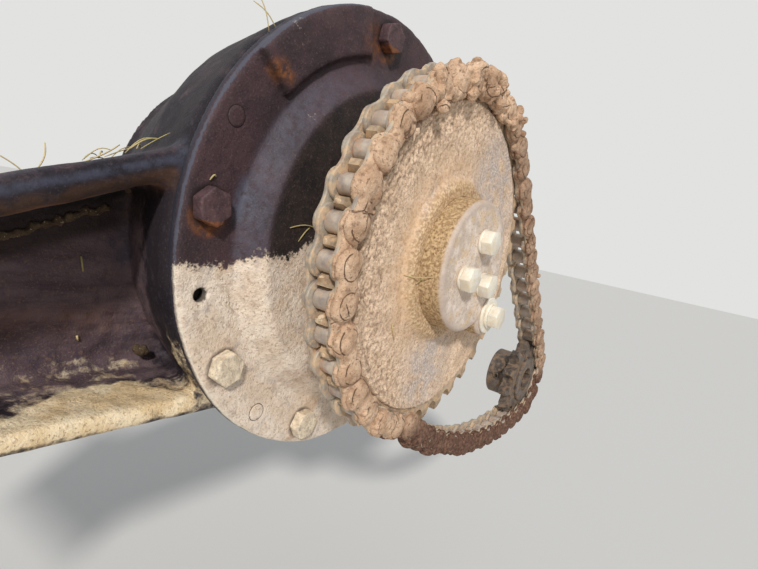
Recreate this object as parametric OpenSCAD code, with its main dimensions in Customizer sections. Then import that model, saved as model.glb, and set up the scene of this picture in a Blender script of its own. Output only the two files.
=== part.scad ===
// Output drive of a square baler's main gearbox: a cast side housing on its support arm, the bolted
// cover, the output shaft with its shear hub, a large chain wheel, a roller chain and a driven pinion.
// X runs to the right, Z up and -Y out of the cover. The origin is the centre of the housing's rear
// face on the shaft's axis.

/* [Housing] */
// Width of the cover's lip outside the drum
flange_lip = 3; // [1:0.5:6]
// Depth of the drum, from the rear face to the gasket
drum_depth = 237; // [190:1:270]
// Depth of the straight rim behind the gasket
drum_rim_t = 15; // [10:1:30]
// Depth of the shoulder behind that rim
shoulder_depth = 82; // [60:1:100]
// How far the shoulder runs in towards the shaft
shoulder_in = 21; // [12:1:30]
// Radius of the drum's rear face
back_r = 172; // [166:1:180]
// Depth of the straight land at the rear face
rear_flange_t = 20; // [14:1:30]
// Depth of the recess between the rear ribs
rear_recess = 12; // [6:1:16]
// Thickness of each rear rib
rear_rib_t = 14; // [10:1:20]
// Number of rear ribs
rear_ribs = 6; // [4:1:10]
// Distance of the rear mounting holes from the rear face's edge
rear_bolt_edge = 26; // [22:1:28]
// Number of rear mounting holes
rear_bolts = 8; // [6:1:12]
// Radius of a rear mounting hole
rear_hole_r = 10.5; // [8:0.5:12]
// Depth of a rear mounting hole
rear_hole_depth = 45; // [30:1:60]

/* [Support arm] */
// Distance from the shaft's axis to the arm's foot
arm_reach = 640; // [560:5:720]
// Height of the arm's lower edge below the shaft's axis
arm_drop = 185; // [175:1:195]
// Height of the arm's upper edge where it meets the drum
arm_rise = 62; // [50:1:80]
// Slope of the arm's upper edge, in degrees
arm_slope = 20; // [16:0.5:22]
// Fall of the upper rib towards the rear, in degrees
arm_fall = 12; // [8:1:14]
// Thickness of the upper rib
arm_rib_t = 26; // [18:1:30]
// Thickness of the lower rib
arm_low_rib_t = 18; // [14:1:24]
// Thickness of the web between the ribs
arm_web_t = 24; // [16:1:32]
// Radius of the fillets between the web and the ribs
web_fillet_r = 20; // [10:1:26]
// Thickness of the foot
foot_t = 26; // [18:1:34]
// Height of the foot
foot_h = 190; // [170:5:210]
// Spacing of the foot's holes across the arm
foot_hole_across = 150; // [130:5:170]
// Spacing of the foot's holes up the arm
foot_hole_up = 134; // [130:1:140]
// Radius of a foot hole
foot_hole_r = 11; // [9:0.5:13]

/* [Cover] */
// Radius of the cover's rim
cover_r = 250; // [236:1:264]
// Thickness of the cover's bolting ring
cover_ring_t = 12; // [10:1:20]
// Thickness of the gasket behind the cover
gasket_t = 1; // [0.5:0.5:3]
// Width of the bolting ring
ring_w = 58; // [54:1:64]
// Width of the slope between the ring and the raised centre
slope_w = 22; // [14:1:30]
// Height of the raised centre above the ring
centre_rise = 22; // [14:1:30]
// Width of the boss round the shaft's seal
boss_wall = 28; // [20:1:40]
// Height of that boss above the raised centre
boss_rise = 28; // [15:1:36]
// Angle of the first cover bolt
cover_bolt_ang = 16.4; // [0:0.1:40]
// Number of stations for the cover bolts, one of which is bare
cover_stations = 9; // [8:1:10]
// Distance of the cover bolts from the rim
cover_bolt_edge = 25; // [23:1:28]
// Thread radius of a cover bolt
cover_thread_r = 10; // [8:0.5:11]
// Radius of the flush plugs
plug_r = 9; // [6:0.5:10]
// Radius of the open jacking hole
jack_r = 6.5; // [4:0.5:8]
// Height of the pad at the top of the ring
pad_t = 7; // [3:1:12]
// Angle of the pad's middle
pad_ang = 123.5; // [122:0.5:126]
// Half the angle that the pad takes up
pad_half_ang = 19; // [15:1:20]

/* [Shaft and hub] */
// Radius of the output shaft
shaft_r = 40; // [36:1:44]
// Length of the shaft's inner end behind the rear face
shaft_tail = 62; // [40:1:90]
// Step down to the shaft's inner end
tail_step = 3; // [1:0.5:8]
// Width of the keyway in that end
key_w = 22; // [14:1:24]
// Depth of that keyway
key_depth = 9; // [5:1:10]
// Thickness of the hub's barrel in the chain wheel
barrel_wall = 14; // [10:1:18]
// Step up to the hub's collar behind the chain wheel
collar_step = 8; // [5:1:10]
// Step up to the drive disc in front of the chain wheel
disc_step = 16; // [12:1:22]
// Thickness of the drive disc
disc_t = 34; // [24:1:40]
// Depth of the disc's recess for the shaft's end
disc_recess = 10; // [4:1:14]
// Distance of the hub bolts from the shaft's surface
hub_bolt_edge = 11.5; // [10:0.5:14]
// Angle of the first hub bolt
hub_bolt_ang = 82; // [0:1:120]
// Thread radius of a hub bolt and of the shear bolt
hub_thread_r = 8; // [5:0.5:8]
// Distance of the shear bolt outside the drive disc
shear_out = 10; // [8:1:14]
// Angle of the shear bolt
shear_ang = -42; // [-60:1:-30]
// Radius of the disc's ear round the shear bolt
ear_r = 25; // [22:1:28]

/* [Chain drive] */
// Pitch of the roller chain
pitch = 31.75; // [30:0.05:34]
// Radius of a chain roller
roller_r = 9.525; // [9:0.025:10]
// Radius of a chain pin
pin_r = 4.765; // [4:0.005:5.5]
// Width between the inner plates
inner_w = 19; // [18.6:0.1:22]
// Thickness of a chain plate
plate_t = 4; // [3:0.25:5]
// End radius of an inner plate
inner_plate_r = 15; // [13:0.5:15.5]
// End radius of an outer plate
outer_plate_r = 13.5; // [12:0.5:15]
// Teeth on the chain wheel
wheel_teeth = 36; // [30:1:42]
// Thickness of the chain wheel and of the pinion's teeth
tooth_w = 17.6; // [14:0.1:18]
// Distance from the cover's ring face to the chain's middle plane
chain_out = 107; // [104:1:120]
// Angle of one tooth gap of the chain wheel
wheel_phase = 3; // [0:0.5:9.5]
// Teeth on the driven pinion
pinion_teeth = 12; // [11:1:14]
// Distance between the two wheels' axes
pinion_dist = 423; // [400:1:460]
// Direction of the pinion from the shaft, in degrees
pinion_dir = -27; // [-35:1:-20]
// Thickness of the pinion's hub
pinion_wall = 18; // [12:1:22]
// Length of the pinion's hub behind its teeth
pinion_hub_len = 34; // [24:1:50]
// Radius of the pinion's bore
pinion_bore_r = 20; // [14:0.5:22]
// Width of the keyway in that bore
pinion_key_w = 12; // [8:1:14]

/* [Hidden] */
$fn = 96;
// Clearance of a shaft in a bearing or seal
run_gap = 0.05;
// Clearance of a bolt in its hole
bolt_gap = 0.5;
// Clearance between pieces that turn and pieces that stand still
turn_gap = 6;
// Small chamfer on machined and cast edges
edge = 3;

// Radii that follow the cover's rim and the shaft
drum_r = cover_r - flange_lip;
shoulder_r = drum_r - shoulder_in;
rear_bolt_r = back_r - rear_bolt_edge;
cover_bolt_r = cover_r - cover_bolt_edge;
slope_outer_r = cover_r - ring_w;
slope_inner_r = slope_outer_r - slope_w;
tail_r = shaft_r - tail_step;
barrel_r = shaft_r + barrel_wall;
collar_r = barrel_r + collar_step;
disc_r = barrel_r + disc_step;
shear_r = disc_r + shear_out;
hub_bolt_circle = shaft_r - hub_bolt_edge;
pinion_hub_r = pinion_bore_r + pinion_wall;

// Places along the shaft, counted from the rear face towards the front
rim_y = drum_depth - drum_rim_t;
shoulder_y = rim_y - shoulder_depth;
gasket_y = drum_depth;
cover_y = gasket_y + gasket_t;
ring_y = cover_y + cover_ring_t;
centre_y = ring_y + centre_rise;
boss_y = centre_y + boss_rise;
chain_y = ring_y + chain_out;
wheel_y = chain_y - tooth_w / 2;
disc_y = chain_y + tooth_w / 2;
disc_end_y = disc_y + disc_t;
collar_y = boss_y + turn_gap;

// Sizes of the shaft's seal, bearing and tunnel
seal_r = shaft_r + 24;
seal_t = 30;
seal_step = 8;
seal_lip = 2;
boss_r = seal_r + boss_wall;
boss_foot = 12;
bearing_r = shaft_r + 32;
bearing_t = 40;
race_w = 8;
race_depth = 3;
tunnel_r = shaft_r + 10;
rear_boss_r = bearing_r + 22;
rear_rim_w = 22;
// How far a cut runs past the surface it opens
past = 1;

// Bolts, nuts and washers; a hexagon is three thread radii across its flats
function hex_corner_r(thread_r) = thread_r * 1.5 / cos(30);
head_bevel = 2.5;
cover_head_t = 13;
hub_head_t = 10;
hub_thread_depth = 36;
hub_bolt_grip = 30;
hub_head_turn = 11;
washer_t = 3;
hub_washer_r = hub_thread_r + 4.5;
washer_r = hex_corner_r(hub_thread_r) + 1;
wide_washer_r = ear_r - 4;
shear_head_t = 10;
shear_head_turn = 20;
shear_nut_t = 13;
shear_end = 4;
key_stop = 9;

// Lays a flat drawing in X and Z, and builds it up towards -Y from the given place
module out_from(y) translate([0, -y, 0]) rotate([90, 0, 0]) children();
function on_circle(r, a) = [r * cos(a), r * sin(a)];
// Straight cylinder with both end edges chamfered
module chamfered(r, h, c) {
    rotate_extrude()
        polygon([[0, 0], [r - c, 0], [r, c], [r, h - c], [r - c, h], [0, h]]);
}

// The drum is a bell: a straight rim, a shoulder, and a cone down to the rear face
module drum() out_from(0) rotate_extrude() polygon([[0, 0], [back_r - edge, 0], [back_r, edge],
    [back_r, rear_flange_t], [shoulder_r, shoulder_y], [drum_r, rim_y], [drum_r, drum_depth - edge],
    [drum_r - edge, drum_depth], [0, drum_depth]]);
// Radius of that cone at a given distance in front of the rear face
function cone_r(y) = back_r + (shoulder_r - back_r) * (y - rear_flange_t) / (shoulder_y - rear_flange_t);

// Support arm: the upper rib's front edge is a straight line that meets the drum's rim
arm_meet = [-sqrt(drum_r^2 - arm_rise^2), arm_rise];
foot_x = -arm_reach;
foot_in_x = foot_x + foot_t;
foot_mid_x = foot_x + foot_t / 2;
pocket_margin = 12;
pocket_x = foot_in_x + pocket_margin;
arm_in_ang = 134;
arm_in_x = on_circle(back_r, arm_in_ang).x;
pocket_in_ang = 143;
pocket_in_x = on_circle(back_r, pocket_in_ang).x;
pocket_low_z = -arm_drop + arm_low_rib_t;
web_front = (drum_depth + arm_web_t) / 2;
web_back = (drum_depth - arm_web_t) / 2;
// Height of a line parallel to the upper edge, a distance below it, at a given x
function upper_z(x, below) = arm_meet.y - below / cos(arm_slope)
    + (x - arm_meet.x) * tan(arm_slope);
foot_mid_z = (upper_z(foot_in_x, 0) - arm_drop) / 2;
// Outline of the arm, with a keel that runs on under the drum
keel_ang = -60;
module arm_outline() polygon([[foot_mid_x, -arm_drop], [foot_mid_x, upper_z(foot_mid_x, 0)],
    [arm_in_x, upper_z(arm_in_x, 0)], [0, 0], on_circle(back_r, keel_ang), [0, -arm_drop]]);
// All that lies above the upper rib, or a distance below its top, as the rib falls to the rear
module above_arm(below) translate([arm_meet.x, -drum_depth, arm_meet.y])
    rotate([0, -arm_slope, 0]) rotate([-arm_fall, 0, 0]) translate([-arm_reach, -edge, -below])
        cube([2 * arm_reach, 2 * drum_depth, drum_r]);
// Pocket of a given depth beside the web, open to the front or to the rear
module pocket(depth) linear_extrude(depth) polygon([[pocket_x, pocket_low_z],
    [pocket_x, upper_z(pocket_x, 0)], [pocket_in_x, upper_z(pocket_in_x, 0)], [pocket_in_x, pocket_low_z]]);
module front_pocket() difference() {
    out_from(web_front) pocket(drum_depth);
    above_arm(arm_rib_t);
    drum();
}
module rear_pocket() difference() {
    out_from(-past) pocket(web_back + past);
    above_arm(arm_rib_t);
    drum();
}
// Section of a fillet in a corner that is wider than square by some degrees
module fillet_section(r, wider) {
    reach = r / tan(45 + wider / 2);
    far = reach * [-sin(wider), cos(wider)];
    difference() {
        polygon([[-past, -past], [reach, -past], [reach, r], far, far - past * on_circle(1, wider)]);
        translate([reach, r]) circle(r = r);
    }
}
// Fillets where the ribs meet the web; the lower one is also behind the web, as a mirror image
module low_fillet() translate([pocket_x - past, -web_front, pocket_low_z]) rotate([90, 0, 90])
    linear_extrude(pocket_in_x - pocket_x + past) mirror([1, 0]) fillet_section(web_fillet_r, 0);
high_below = arm_rib_t / cos(arm_fall) + (drum_depth - web_front) * tan(arm_fall);
module high_fillet() translate([pocket_x, -web_front, upper_z(pocket_x, high_below)])
    rotate([0, -arm_slope, 0]) rotate([90, 0, 90]) translate([0, 0, -past])
        linear_extrude((pocket_in_x - pocket_x) / cos(arm_slope)) rotate(180) mirror([0, 1])
            rotate(-90) fillet_section(web_fillet_r, arm_fall);

// Boss and plug below the drum
drain_boss_r = 24;
drain_y = drum_depth / 2 - drain_boss_r;
drain_boss_h = 8;
drain_low = cone_r(drain_y + drain_boss_r) + drain_boss_h;
drain_flange_r = 17;
drain_flange_t = 3;
drain_hex_r = 13;
drain_hex_t = 10;

module housing() color("#3c414c") {
    difference() {
        union() {
            drum();
            difference() {
                out_from(0) linear_extrude(drum_depth - edge) arm_outline();
                above_arm(0);
            }
            translate([foot_x, -drum_depth, foot_mid_z - foot_h / 2]) cube([foot_t, drum_depth, foot_h]);
            translate([0, -drain_y, -drain_low])
                cylinder(h = 2 * drain_boss_h + drain_boss_r, r = drain_boss_r);
        }
        front_pocket();
        rear_pocket();
        // Tunnel for the shaft with its rear bearing's seat
        out_from(-past) cylinder(h = drum_depth + 2 * past, r = tunnel_r);
        out_from(-past) cylinder(h = bearing_t + past, r = bearing_r);
        // Ribbed recess in the rear face
        out_from(-past) linear_extrude(rear_recess + past) difference() {
            circle(r = rear_bolt_r - rear_rim_w);
            circle(r = rear_boss_r);
            for (k = [0 : rear_ribs - 1]) rotate((k + 0.5) * 360 / rear_ribs)
                translate([0, -rear_rib_t / 2]) square([back_r, rear_rib_t]);
        }
        for (k = [0 : rear_bolts - 1]) rotate([0, -(k + 0.5) * 360 / rear_bolts, 0])
            translate([rear_bolt_r, 0, 0]) out_from(-past)
                cylinder(h = rear_hole_depth + past, r = rear_hole_r);
        // Threads for the cover bolts
        for (a = bolt_angs) rotate([0, -a, 0]) translate([cover_bolt_r, 0, 0])
            out_from(drum_depth - cover_thread_depth)
                cylinder(h = cover_thread_depth + past, r = cover_thread_r);
        // Holes through the foot
        for (y = [-1, 1], z = [-1, 1])
            translate([foot_x - past, (y * foot_hole_across - drum_depth) / 2,
                       foot_mid_z + z * foot_hole_up / 2])
                rotate([0, 90, 0]) cylinder(h = foot_t + 2 * past, r = foot_hole_r);
    }
    low_fillet();
    translate([0, -drum_depth, 0]) mirror([0, 1, 0]) low_fillet();
    high_fillet();
}

module drain_plug() color("#5a5650") translate([0, -drain_y, -drain_low]) rotate([180, 0, 0]) {
    cylinder(h = drain_flange_t, r = drain_flange_r);
    translate([0, 0, drain_flange_t]) cylinder(h = drain_hex_t, r = drain_hex_r, $fn = 6);
}

module gasket() color("#2b2b2a") out_from(gasket_y) difference() {
    cylinder(h = gasket_t, r = drum_r - past);
    translate([0, 0, -past]) cylinder(h = gasket_t + 2 * past, r = slope_inner_r);
    for (a = bolt_angs) rotate(a) translate([cover_bolt_r, 0, -past])
        cylinder(h = gasket_t + 2 * past, r = cover_thread_r + bolt_gap);
}

// Stations round the cover: the one nearest the top left, under the pad, is bare, the others hold a bolt
station = 360 / cover_stations;
bare_station = 3;
bare_ang = cover_bolt_ang + bare_station * station;
bolt_angs = [for (k = [0 : cover_stations - 1]) if (k != bare_station) cover_bolt_ang + k * station];
plug_angs = [bare_ang + station / 2, bare_ang + 2.5 * station];
jack_ang = bare_ang + 1.5 * station;
plug_depth = cover_ring_t - edge;
plug_sink = 0.5;
plug_circle = cover_bolt_r + 4;
jack_circle = cover_bolt_r + 2;
cover_thread_depth = 32;
cover_bolt_grip = 30;
cover_head_turn = 17;
pad_in_r = slope_outer_r + 8;
cover_bolt_head_r = hex_corner_r(cover_thread_r);

module cover() color("#6d5147") out_from(cover_y) difference() {
    union() {
        rotate_extrude() polygon([
            [seal_r, 0], [cover_r, 0], [cover_r, cover_ring_t - edge], [cover_r - edge, cover_ring_t],
            [slope_outer_r, cover_ring_t], [slope_inner_r, cover_ring_t + centre_rise],
            [boss_r + boss_foot, cover_ring_t + centre_rise],
            [boss_r, cover_ring_t + centre_rise + boss_rise - edge],
            [boss_r - edge, cover_ring_t + centre_rise + boss_rise],
            [seal_r, cover_ring_t + centre_rise + boss_rise]]);
        // Raised pad
        intersection() {
            rotate_extrude() polygon([
                [pad_in_r, cover_ring_t - past], [cover_r, cover_ring_t - past - edge],
                [cover_r, cover_ring_t + pad_t - edge], [cover_r - edge, cover_ring_t + pad_t],
                [pad_in_r + edge, cover_ring_t + pad_t]]);
            linear_extrude(cover_ring_t + 2 * pad_t) polygon([[0, 0],
                on_circle(1.3 * cover_r, pad_ang - pad_half_ang), on_circle(1.4 * cover_r, pad_ang),
                on_circle(1.3 * cover_r, pad_ang + pad_half_ang)]);
        }
    }
    for (a = bolt_angs) rotate(a) translate([cover_bolt_r, 0, -past])
        cylinder(h = cover_ring_t + 2 * past, r = cover_thread_r + bolt_gap);
    for (a = plug_angs) rotate(a) translate([plug_circle, 0, cover_ring_t - plug_depth])
        cylinder(h = plug_depth + past, r = plug_r + bolt_gap);
    rotate(jack_ang) translate([jack_circle, 0, -past]) cylinder(h = cover_ring_t + 2 * past, r = jack_r);
}

// Hexagon head with its corners turned off
module hex_head(thread_r, h) intersection() {
    corner_r = hex_corner_r(thread_r);
    cylinder(h = h, r = corner_r, $fn = 6);
    translate([0, 0, -past]) rotate_extrude() polygon([[0, 0], [corner_r, 0],
        [corner_r, h + past - head_bevel / 2], [corner_r - head_bevel, h + past], [0, h + past]]);
}
module cover_bolts() color("#6a5a4e") out_from(cover_y) for (a = bolt_angs)
    rotate(a) translate([cover_bolt_r, 0, 0]) {
        translate([0, 0, -cover_bolt_grip]) cylinder(h = cover_ring_t + cover_bolt_grip, r = cover_thread_r);
        translate([0, 0, cover_ring_t]) rotate(cover_head_turn) hex_head(cover_thread_r, cover_head_t);
    }

module cover_plugs() color("#715548") out_from(cover_y + cover_ring_t - plug_depth)
    for (a = plug_angs) rotate(a) translate([plug_circle, 0, 0])
        cylinder(h = plug_depth - plug_sink, r = plug_r);

module shaft_seal() color("#26262a") out_from(boss_y - seal_t) difference() {
    union() {
        cylinder(h = seal_t, r = seal_r);
        cylinder(h = seal_t + seal_lip, r = seal_r - seal_step);
    }
    translate([0, 0, -past]) cylinder(h = seal_t + seal_lip + 2 * past, r = shaft_r + run_gap);
}

module rear_bearing() color("#8b8d90") out_from(0) difference() {
    cylinder(h = bearing_t, r = bearing_r);
    translate([0, 0, -past]) cylinder(h = bearing_t + 2 * past, r = shaft_r + run_gap);
    translate([0, 0, -past]) difference() {
        cylinder(h = race_depth + past, r = bearing_r - race_w);
        cylinder(h = race_depth + 2 * past, r = shaft_r + race_w);
    }
}

module shaft() color("#8f8f93") out_from(-shaft_tail) difference() {
    union() {
        chamfered(tail_r, shaft_tail + edge, edge / 2);
        translate([0, 0, shaft_tail]) chamfered(shaft_r, disc_y + disc_recess, edge / 3);
    }
    translate([tail_r - key_depth, -key_w / 2, -past])
        cube([key_depth + past, key_w, shaft_tail + past - key_stop]);
    for (k = [0 : 2]) rotate(hub_bolt_ang + 120 * k)
        translate([hub_bolt_circle, 0, shaft_tail + disc_y + disc_recess - hub_thread_depth])
            cylinder(h = hub_thread_depth + past, r = hub_thread_r);
}

module hub() color("#55504c") out_from(collar_y) difference() {
    union() {
        chamfered(collar_r, wheel_y - collar_y, edge / 2);
        cylinder(h = disc_y - collar_y, r = barrel_r);
    }
    translate([0, 0, -past]) cylinder(h = disc_y - collar_y + 2 * past, r = shaft_r + run_gap);
}

// Toothed disc: round gaps for the rollers, straight flanks and bevelled tooth sides
seat_gap = 0.3;
seat_half_ang = 58;
tooth_top = 5;
tooth_bevel = 0.22;
function pitch_r(teeth) = pitch / (2 * sin(180 / teeth));
function tip_r(teeth) = pitch * (0.6 + 1 / tan(180 / teeth)) / 2;
module tooth_gap(teeth) {
    seat_r = roller_r + seat_gap;
    rise = tip_r(teeth) - pitch_r(teeth) + edge;
    half = tip_r(teeth) * sin(180 / teeth) - tooth_top / 2 + past;
    translate([pitch_r(teeth), 0]) {
        circle(r = seat_r);
        polygon([-seat_r * on_circle(1, seat_half_ang), [rise, -half], [rise, half],
                 seat_r * [-cos(seat_half_ang), sin(seat_half_ang)]]);
    }
}
module toothed_disc(teeth, phase) intersection() {
    linear_extrude(tooth_w) difference() {
        circle(r = tip_r(teeth), $fn = 180);
        for (k = [0 : teeth - 1]) rotate(phase + k * 360 / teeth) tooth_gap(teeth);
    }
    rotate_extrude($fn = 180) polygon([[0, 0], [pitch_r(teeth), 0],
        [tip_r(teeth) + past, tooth_w * tooth_bevel], [tip_r(teeth) + past, tooth_w * (1 - tooth_bevel)],
        [pitch_r(teeth), tooth_w], [0, tooth_w]]);
}

shear_at = on_circle(shear_r, shear_ang);
module wheel() color("#a08c70") out_from(wheel_y) difference() {
    toothed_disc(wheel_teeth, wheel_phase);
    translate([0, 0, -past]) cylinder(h = tooth_w + 2 * past, r = barrel_r + run_gap);
    translate([shear_at.x, shear_at.y, -past]) cylinder(h = tooth_w + 2 * past, r = hub_thread_r + bolt_gap);
}

module drive_disc() color("#b09c86") out_from(disc_y) difference() {
    union() {
        rotate_extrude() polygon([[0, 0], [disc_r, 0], [disc_r, disc_t - edge],
                                  [disc_r - edge, disc_t], [0, disc_t]]);
        translate([shear_at.x, shear_at.y, 0]) chamfered(ear_r, disc_t, edge);
        rotate(shear_ang) translate([0, edge - ear_r, 0])
            cube([shear_r, 2 * (ear_r - edge), disc_t - 2 * edge]);
    }
    translate([0, 0, -past]) cylinder(h = disc_recess + past, r = shaft_r + run_gap);
    for (k = [0 : 2]) rotate(hub_bolt_ang + 120 * k) translate([hub_bolt_circle, 0, -past])
        cylinder(h = disc_t + 2 * past, r = hub_thread_r + bolt_gap);
    translate([shear_at.x, shear_at.y, -past]) cylinder(h = disc_t + 2 * past, r = hub_thread_r + bolt_gap);
}

module ring(outer, inner, h) difference() {
    cylinder(h = h, r = outer);
    translate([0, 0, -past]) cylinder(h = h + 2 * past, r = inner);
}
module hub_bolts() color("#d8d6cc") out_from(disc_end_y) for (k = [0 : 2])
    rotate(hub_bolt_ang + 120 * k) translate([hub_bolt_circle, 0, 0]) {
        translate([0, 0, washer_t]) rotate(hub_head_turn) hex_head(hub_thread_r, hub_head_t);
        translate([0, 0, disc_recess - disc_t - hub_bolt_grip])
            cylinder(h = disc_t - disc_recess + hub_bolt_grip + washer_t + past, r = hub_thread_r);
    }
module hub_washers() color("#cfccc0") out_from(disc_end_y) for (k = [0 : 2])
    rotate(hub_bolt_ang + 120 * k) translate([hub_bolt_circle, 0, 0])
        ring(hub_washer_r, hub_thread_r + run_gap, washer_t);

shear_bolt_len = shear_end + shear_nut_t + tooth_w + disc_t + 2 * washer_t;
module shear_bolt() color("#e2e0d8") out_from(disc_end_y + 2 * washer_t)
    translate([shear_at.x, shear_at.y, 0]) {
        rotate(shear_head_turn) hex_head(hub_thread_r, shear_head_t);
        translate([0, 0, -shear_bolt_len]) cylinder(h = shear_bolt_len + past, r = hub_thread_r);
    }
module shear_washers() color("#cfccc0") out_from(disc_end_y) translate([shear_at.x, shear_at.y, 0]) {
    ring(wide_washer_r, hub_thread_r + run_gap, washer_t);
    translate([0, 0, washer_t]) ring(washer_r, hub_thread_r + run_gap, washer_t);
}
module shear_nut() color("#cfccc0") out_from(wheel_y - shear_nut_t)
    translate([shear_at.x, shear_at.y, 0]) difference() {
        cylinder(h = shear_nut_t, r = hex_corner_r(hub_thread_r), $fn = 6);
        translate([0, 0, -past]) cylinder(h = shear_nut_t + 2 * past, r = hub_thread_r + run_gap);
    }

// Course of the chain. It starts at the wheel's pin nearest the upper tangent, runs down the tight
// strand, round the pinion, back along the slack strand and round the wheel.
wheel_pr = pitch_r(wheel_teeth);
pinion_pr = pitch_r(pinion_teeth);
wheel_step = 360 / wheel_teeth;
pinion_step = 360 / pinion_teeth;
pinion_at = on_circle(pinion_dist, pinion_dir);
lean = acos((wheel_pr - pinion_pr) / pinion_dist);
tight_ang = wheel_phase + wheel_step * round((pinion_dir + lean - wheel_phase) / wheel_step);
tight_start = on_circle(wheel_pr, tight_ang);
across = pinion_at - tight_start;
tight_n = round(sqrt(across * across - pinion_pr^2) / pitch);
tight_len = tight_n * pitch;
tight_dir = atan2(across.y, across.x)
    + acos((tight_len^2 + across * across - pinion_pr^2) / (2 * tight_len * norm(across)));
tight_end = tight_start + on_circle(tight_len, tight_dir);
pinion_ang = atan2(tight_end.y - pinion_at.y, tight_end.x - pinion_at.x);
pinion_n = round((pinion_ang - pinion_dir + lean) / pinion_step);
wheel_n = round((pinion_dir - lean + 360 - tight_ang) / wheel_step);
slack_start = pinion_at + on_circle(pinion_pr, pinion_ang - pinion_step * pinion_n);
slack_end = on_circle(wheel_pr, tight_ang + wheel_step * wheel_n);
slack = slack_end - slack_start;
slack_least = ceil(norm(slack) / pitch + 0.02);
slack_n = slack_least + (tight_n + pinion_n + wheel_n + slack_least) % 2;
// Turn from link to link that lets the slack strand's links span the gap
function slack_turn(low, high, left) =
    let (mid = (low + high) / 2)
    left == 0 ? mid
    : sin(slack_n * mid / 2) / sin(mid / 2) * pitch > norm(slack)
        ? slack_turn(mid, high, left - 1) : slack_turn(low, mid, left - 1);
sag_turn = slack_turn(0.001, 300 / slack_n, 40);
slack_dir = atan2(slack.y, slack.x);
function slack_pin(i) = i == 0 ? slack_start
    : slack_pin(i - 1) + on_circle(pitch, slack_dir + ((slack_n - 1) / 2 - (i - 1)) * sag_turn);
pins = [
    for (i = [0 : tight_n]) tight_start + on_circle(i * pitch, tight_dir),
    for (i = [1 : pinion_n]) pinion_at + on_circle(pinion_pr, pinion_ang - i * pinion_step),
    for (i = [1 : slack_n - 1]) slack_pin(i),
    for (i = [wheel_n : -1 : 1]) on_circle(wheel_pr, tight_ang + i * wheel_step)
];
plate_gap = 0.2;
plate_waist = 4;
outer_y = inner_w / 2 + plate_t + plate_gap;
pin_end = outer_y + plate_t + 2.5;
module at_link(i) {
    a = pins[i];
    b = pins[(i + 1) % len(pins)];
    translate([a.x, a.y, 0]) rotate(atan2(b.y - a.y, b.x - a.x)) children();
}
module link_plate(end_r) {
    circle(r = end_r, $fn = 32);
    translate([pitch, 0]) circle(r = end_r, $fn = 32);
    translate([0, plate_waist - end_r]) square([pitch, 2 * (end_r - plate_waist)]);
}
module roller_link() difference() {
    union() {
        for (y = [-inner_w / 2 - plate_t, inner_w / 2]) translate([0, 0, y])
            linear_extrude(plate_t) link_plate(inner_plate_r);
        for (x = [0, pitch]) translate([x, 0, -inner_w / 2]) cylinder(h = inner_w, r = roller_r, $fn = 32);
    }
    for (x = [0, pitch]) translate([x, 0, -outer_y]) cylinder(h = 2 * outer_y, r = pin_r + run_gap, $fn = 32);
}
module pin_link() {
    for (y = [-outer_y - plate_t, outer_y]) translate([0, 0, y])
        linear_extrude(plate_t) link_plate(outer_plate_r);
    for (x = [0, pitch]) translate([x, 0, -pin_end]) cylinder(h = 2 * pin_end, r = pin_r, $fn = 32);
}
module roller_links() color("#8d7f70") out_from(chain_y)
    for (i = [0 : 2 : len(pins) - 1]) at_link(i) roller_link();
module pin_links() color("#97826a") out_from(chain_y)
    for (i = [1 : 2 : len(pins) - 1]) at_link(i) pin_link();

// Driven pinion with the keyway and the set screw in its hub
hub_lip = 4;
pinion_key_depth = 3.3;
pinion_len = pinion_hub_len + tooth_w + hub_lip;
screw_r = 5;
screw_socket_r = 2.9;
screw_socket_depth = 5;
screw_ang = 180;
screw_len = pinion_wall + past;
module in_pinion() translate([pinion_at.x, pinion_at.y, 0]) children();
module screw_place() rotate(screw_ang) translate([pinion_bore_r, 0, -pinion_hub_len / 2])
    rotate([0, 90, 0]) children();
module pinion() color("#6f6a64") out_from(wheel_y) in_pinion() difference() {
    union() {
        toothed_disc(pinion_teeth, pinion_ang);
        translate([0, 0, -pinion_hub_len]) chamfered(pinion_hub_r, pinion_len, edge / 2);
    }
    translate([0, 0, -pinion_hub_len - past]) cylinder(h = pinion_len + 2 * past, r = pinion_bore_r);
    translate([0, -pinion_key_w / 2, -pinion_hub_len - past])
        cube([pinion_bore_r + pinion_key_depth, pinion_key_w, pinion_len + 2 * past]);
    screw_place() translate([0, 0, -pinion_bore_r]) cylinder(h = 2 * pinion_hub_r, r = screw_r + run_gap);
}
module pinion_screw() color("#4a4a4c") out_from(wheel_y) in_pinion() screw_place()
    translate([0, 0, past]) difference() {
        cylinder(h = screw_len, r = screw_r);
        translate([0, 0, screw_len - screw_socket_depth])
            cylinder(h = screw_socket_depth + past, r = screw_socket_r, $fn = 6);
    }

housing();
drain_plug();
gasket();
cover();
cover_bolts();
cover_plugs();
shaft_seal();
rear_bearing();
shaft();
hub();
wheel();
drive_disc();
hub_bolts();
hub_washers();
shear_bolt();
shear_washers();
shear_nut();
roller_links();
pin_links();
pinion();
pinion_screw();
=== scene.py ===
"""Dresses the output drive of a square baler's gearbox: castings, chain, mud, bolts, finishes."""

import math
import random

import bmesh
import bpy
from mathutils import Matrix, Vector, noise
from mathutils.bvhtree import BVHTree
from mathutils.kdtree import KDTree


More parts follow.
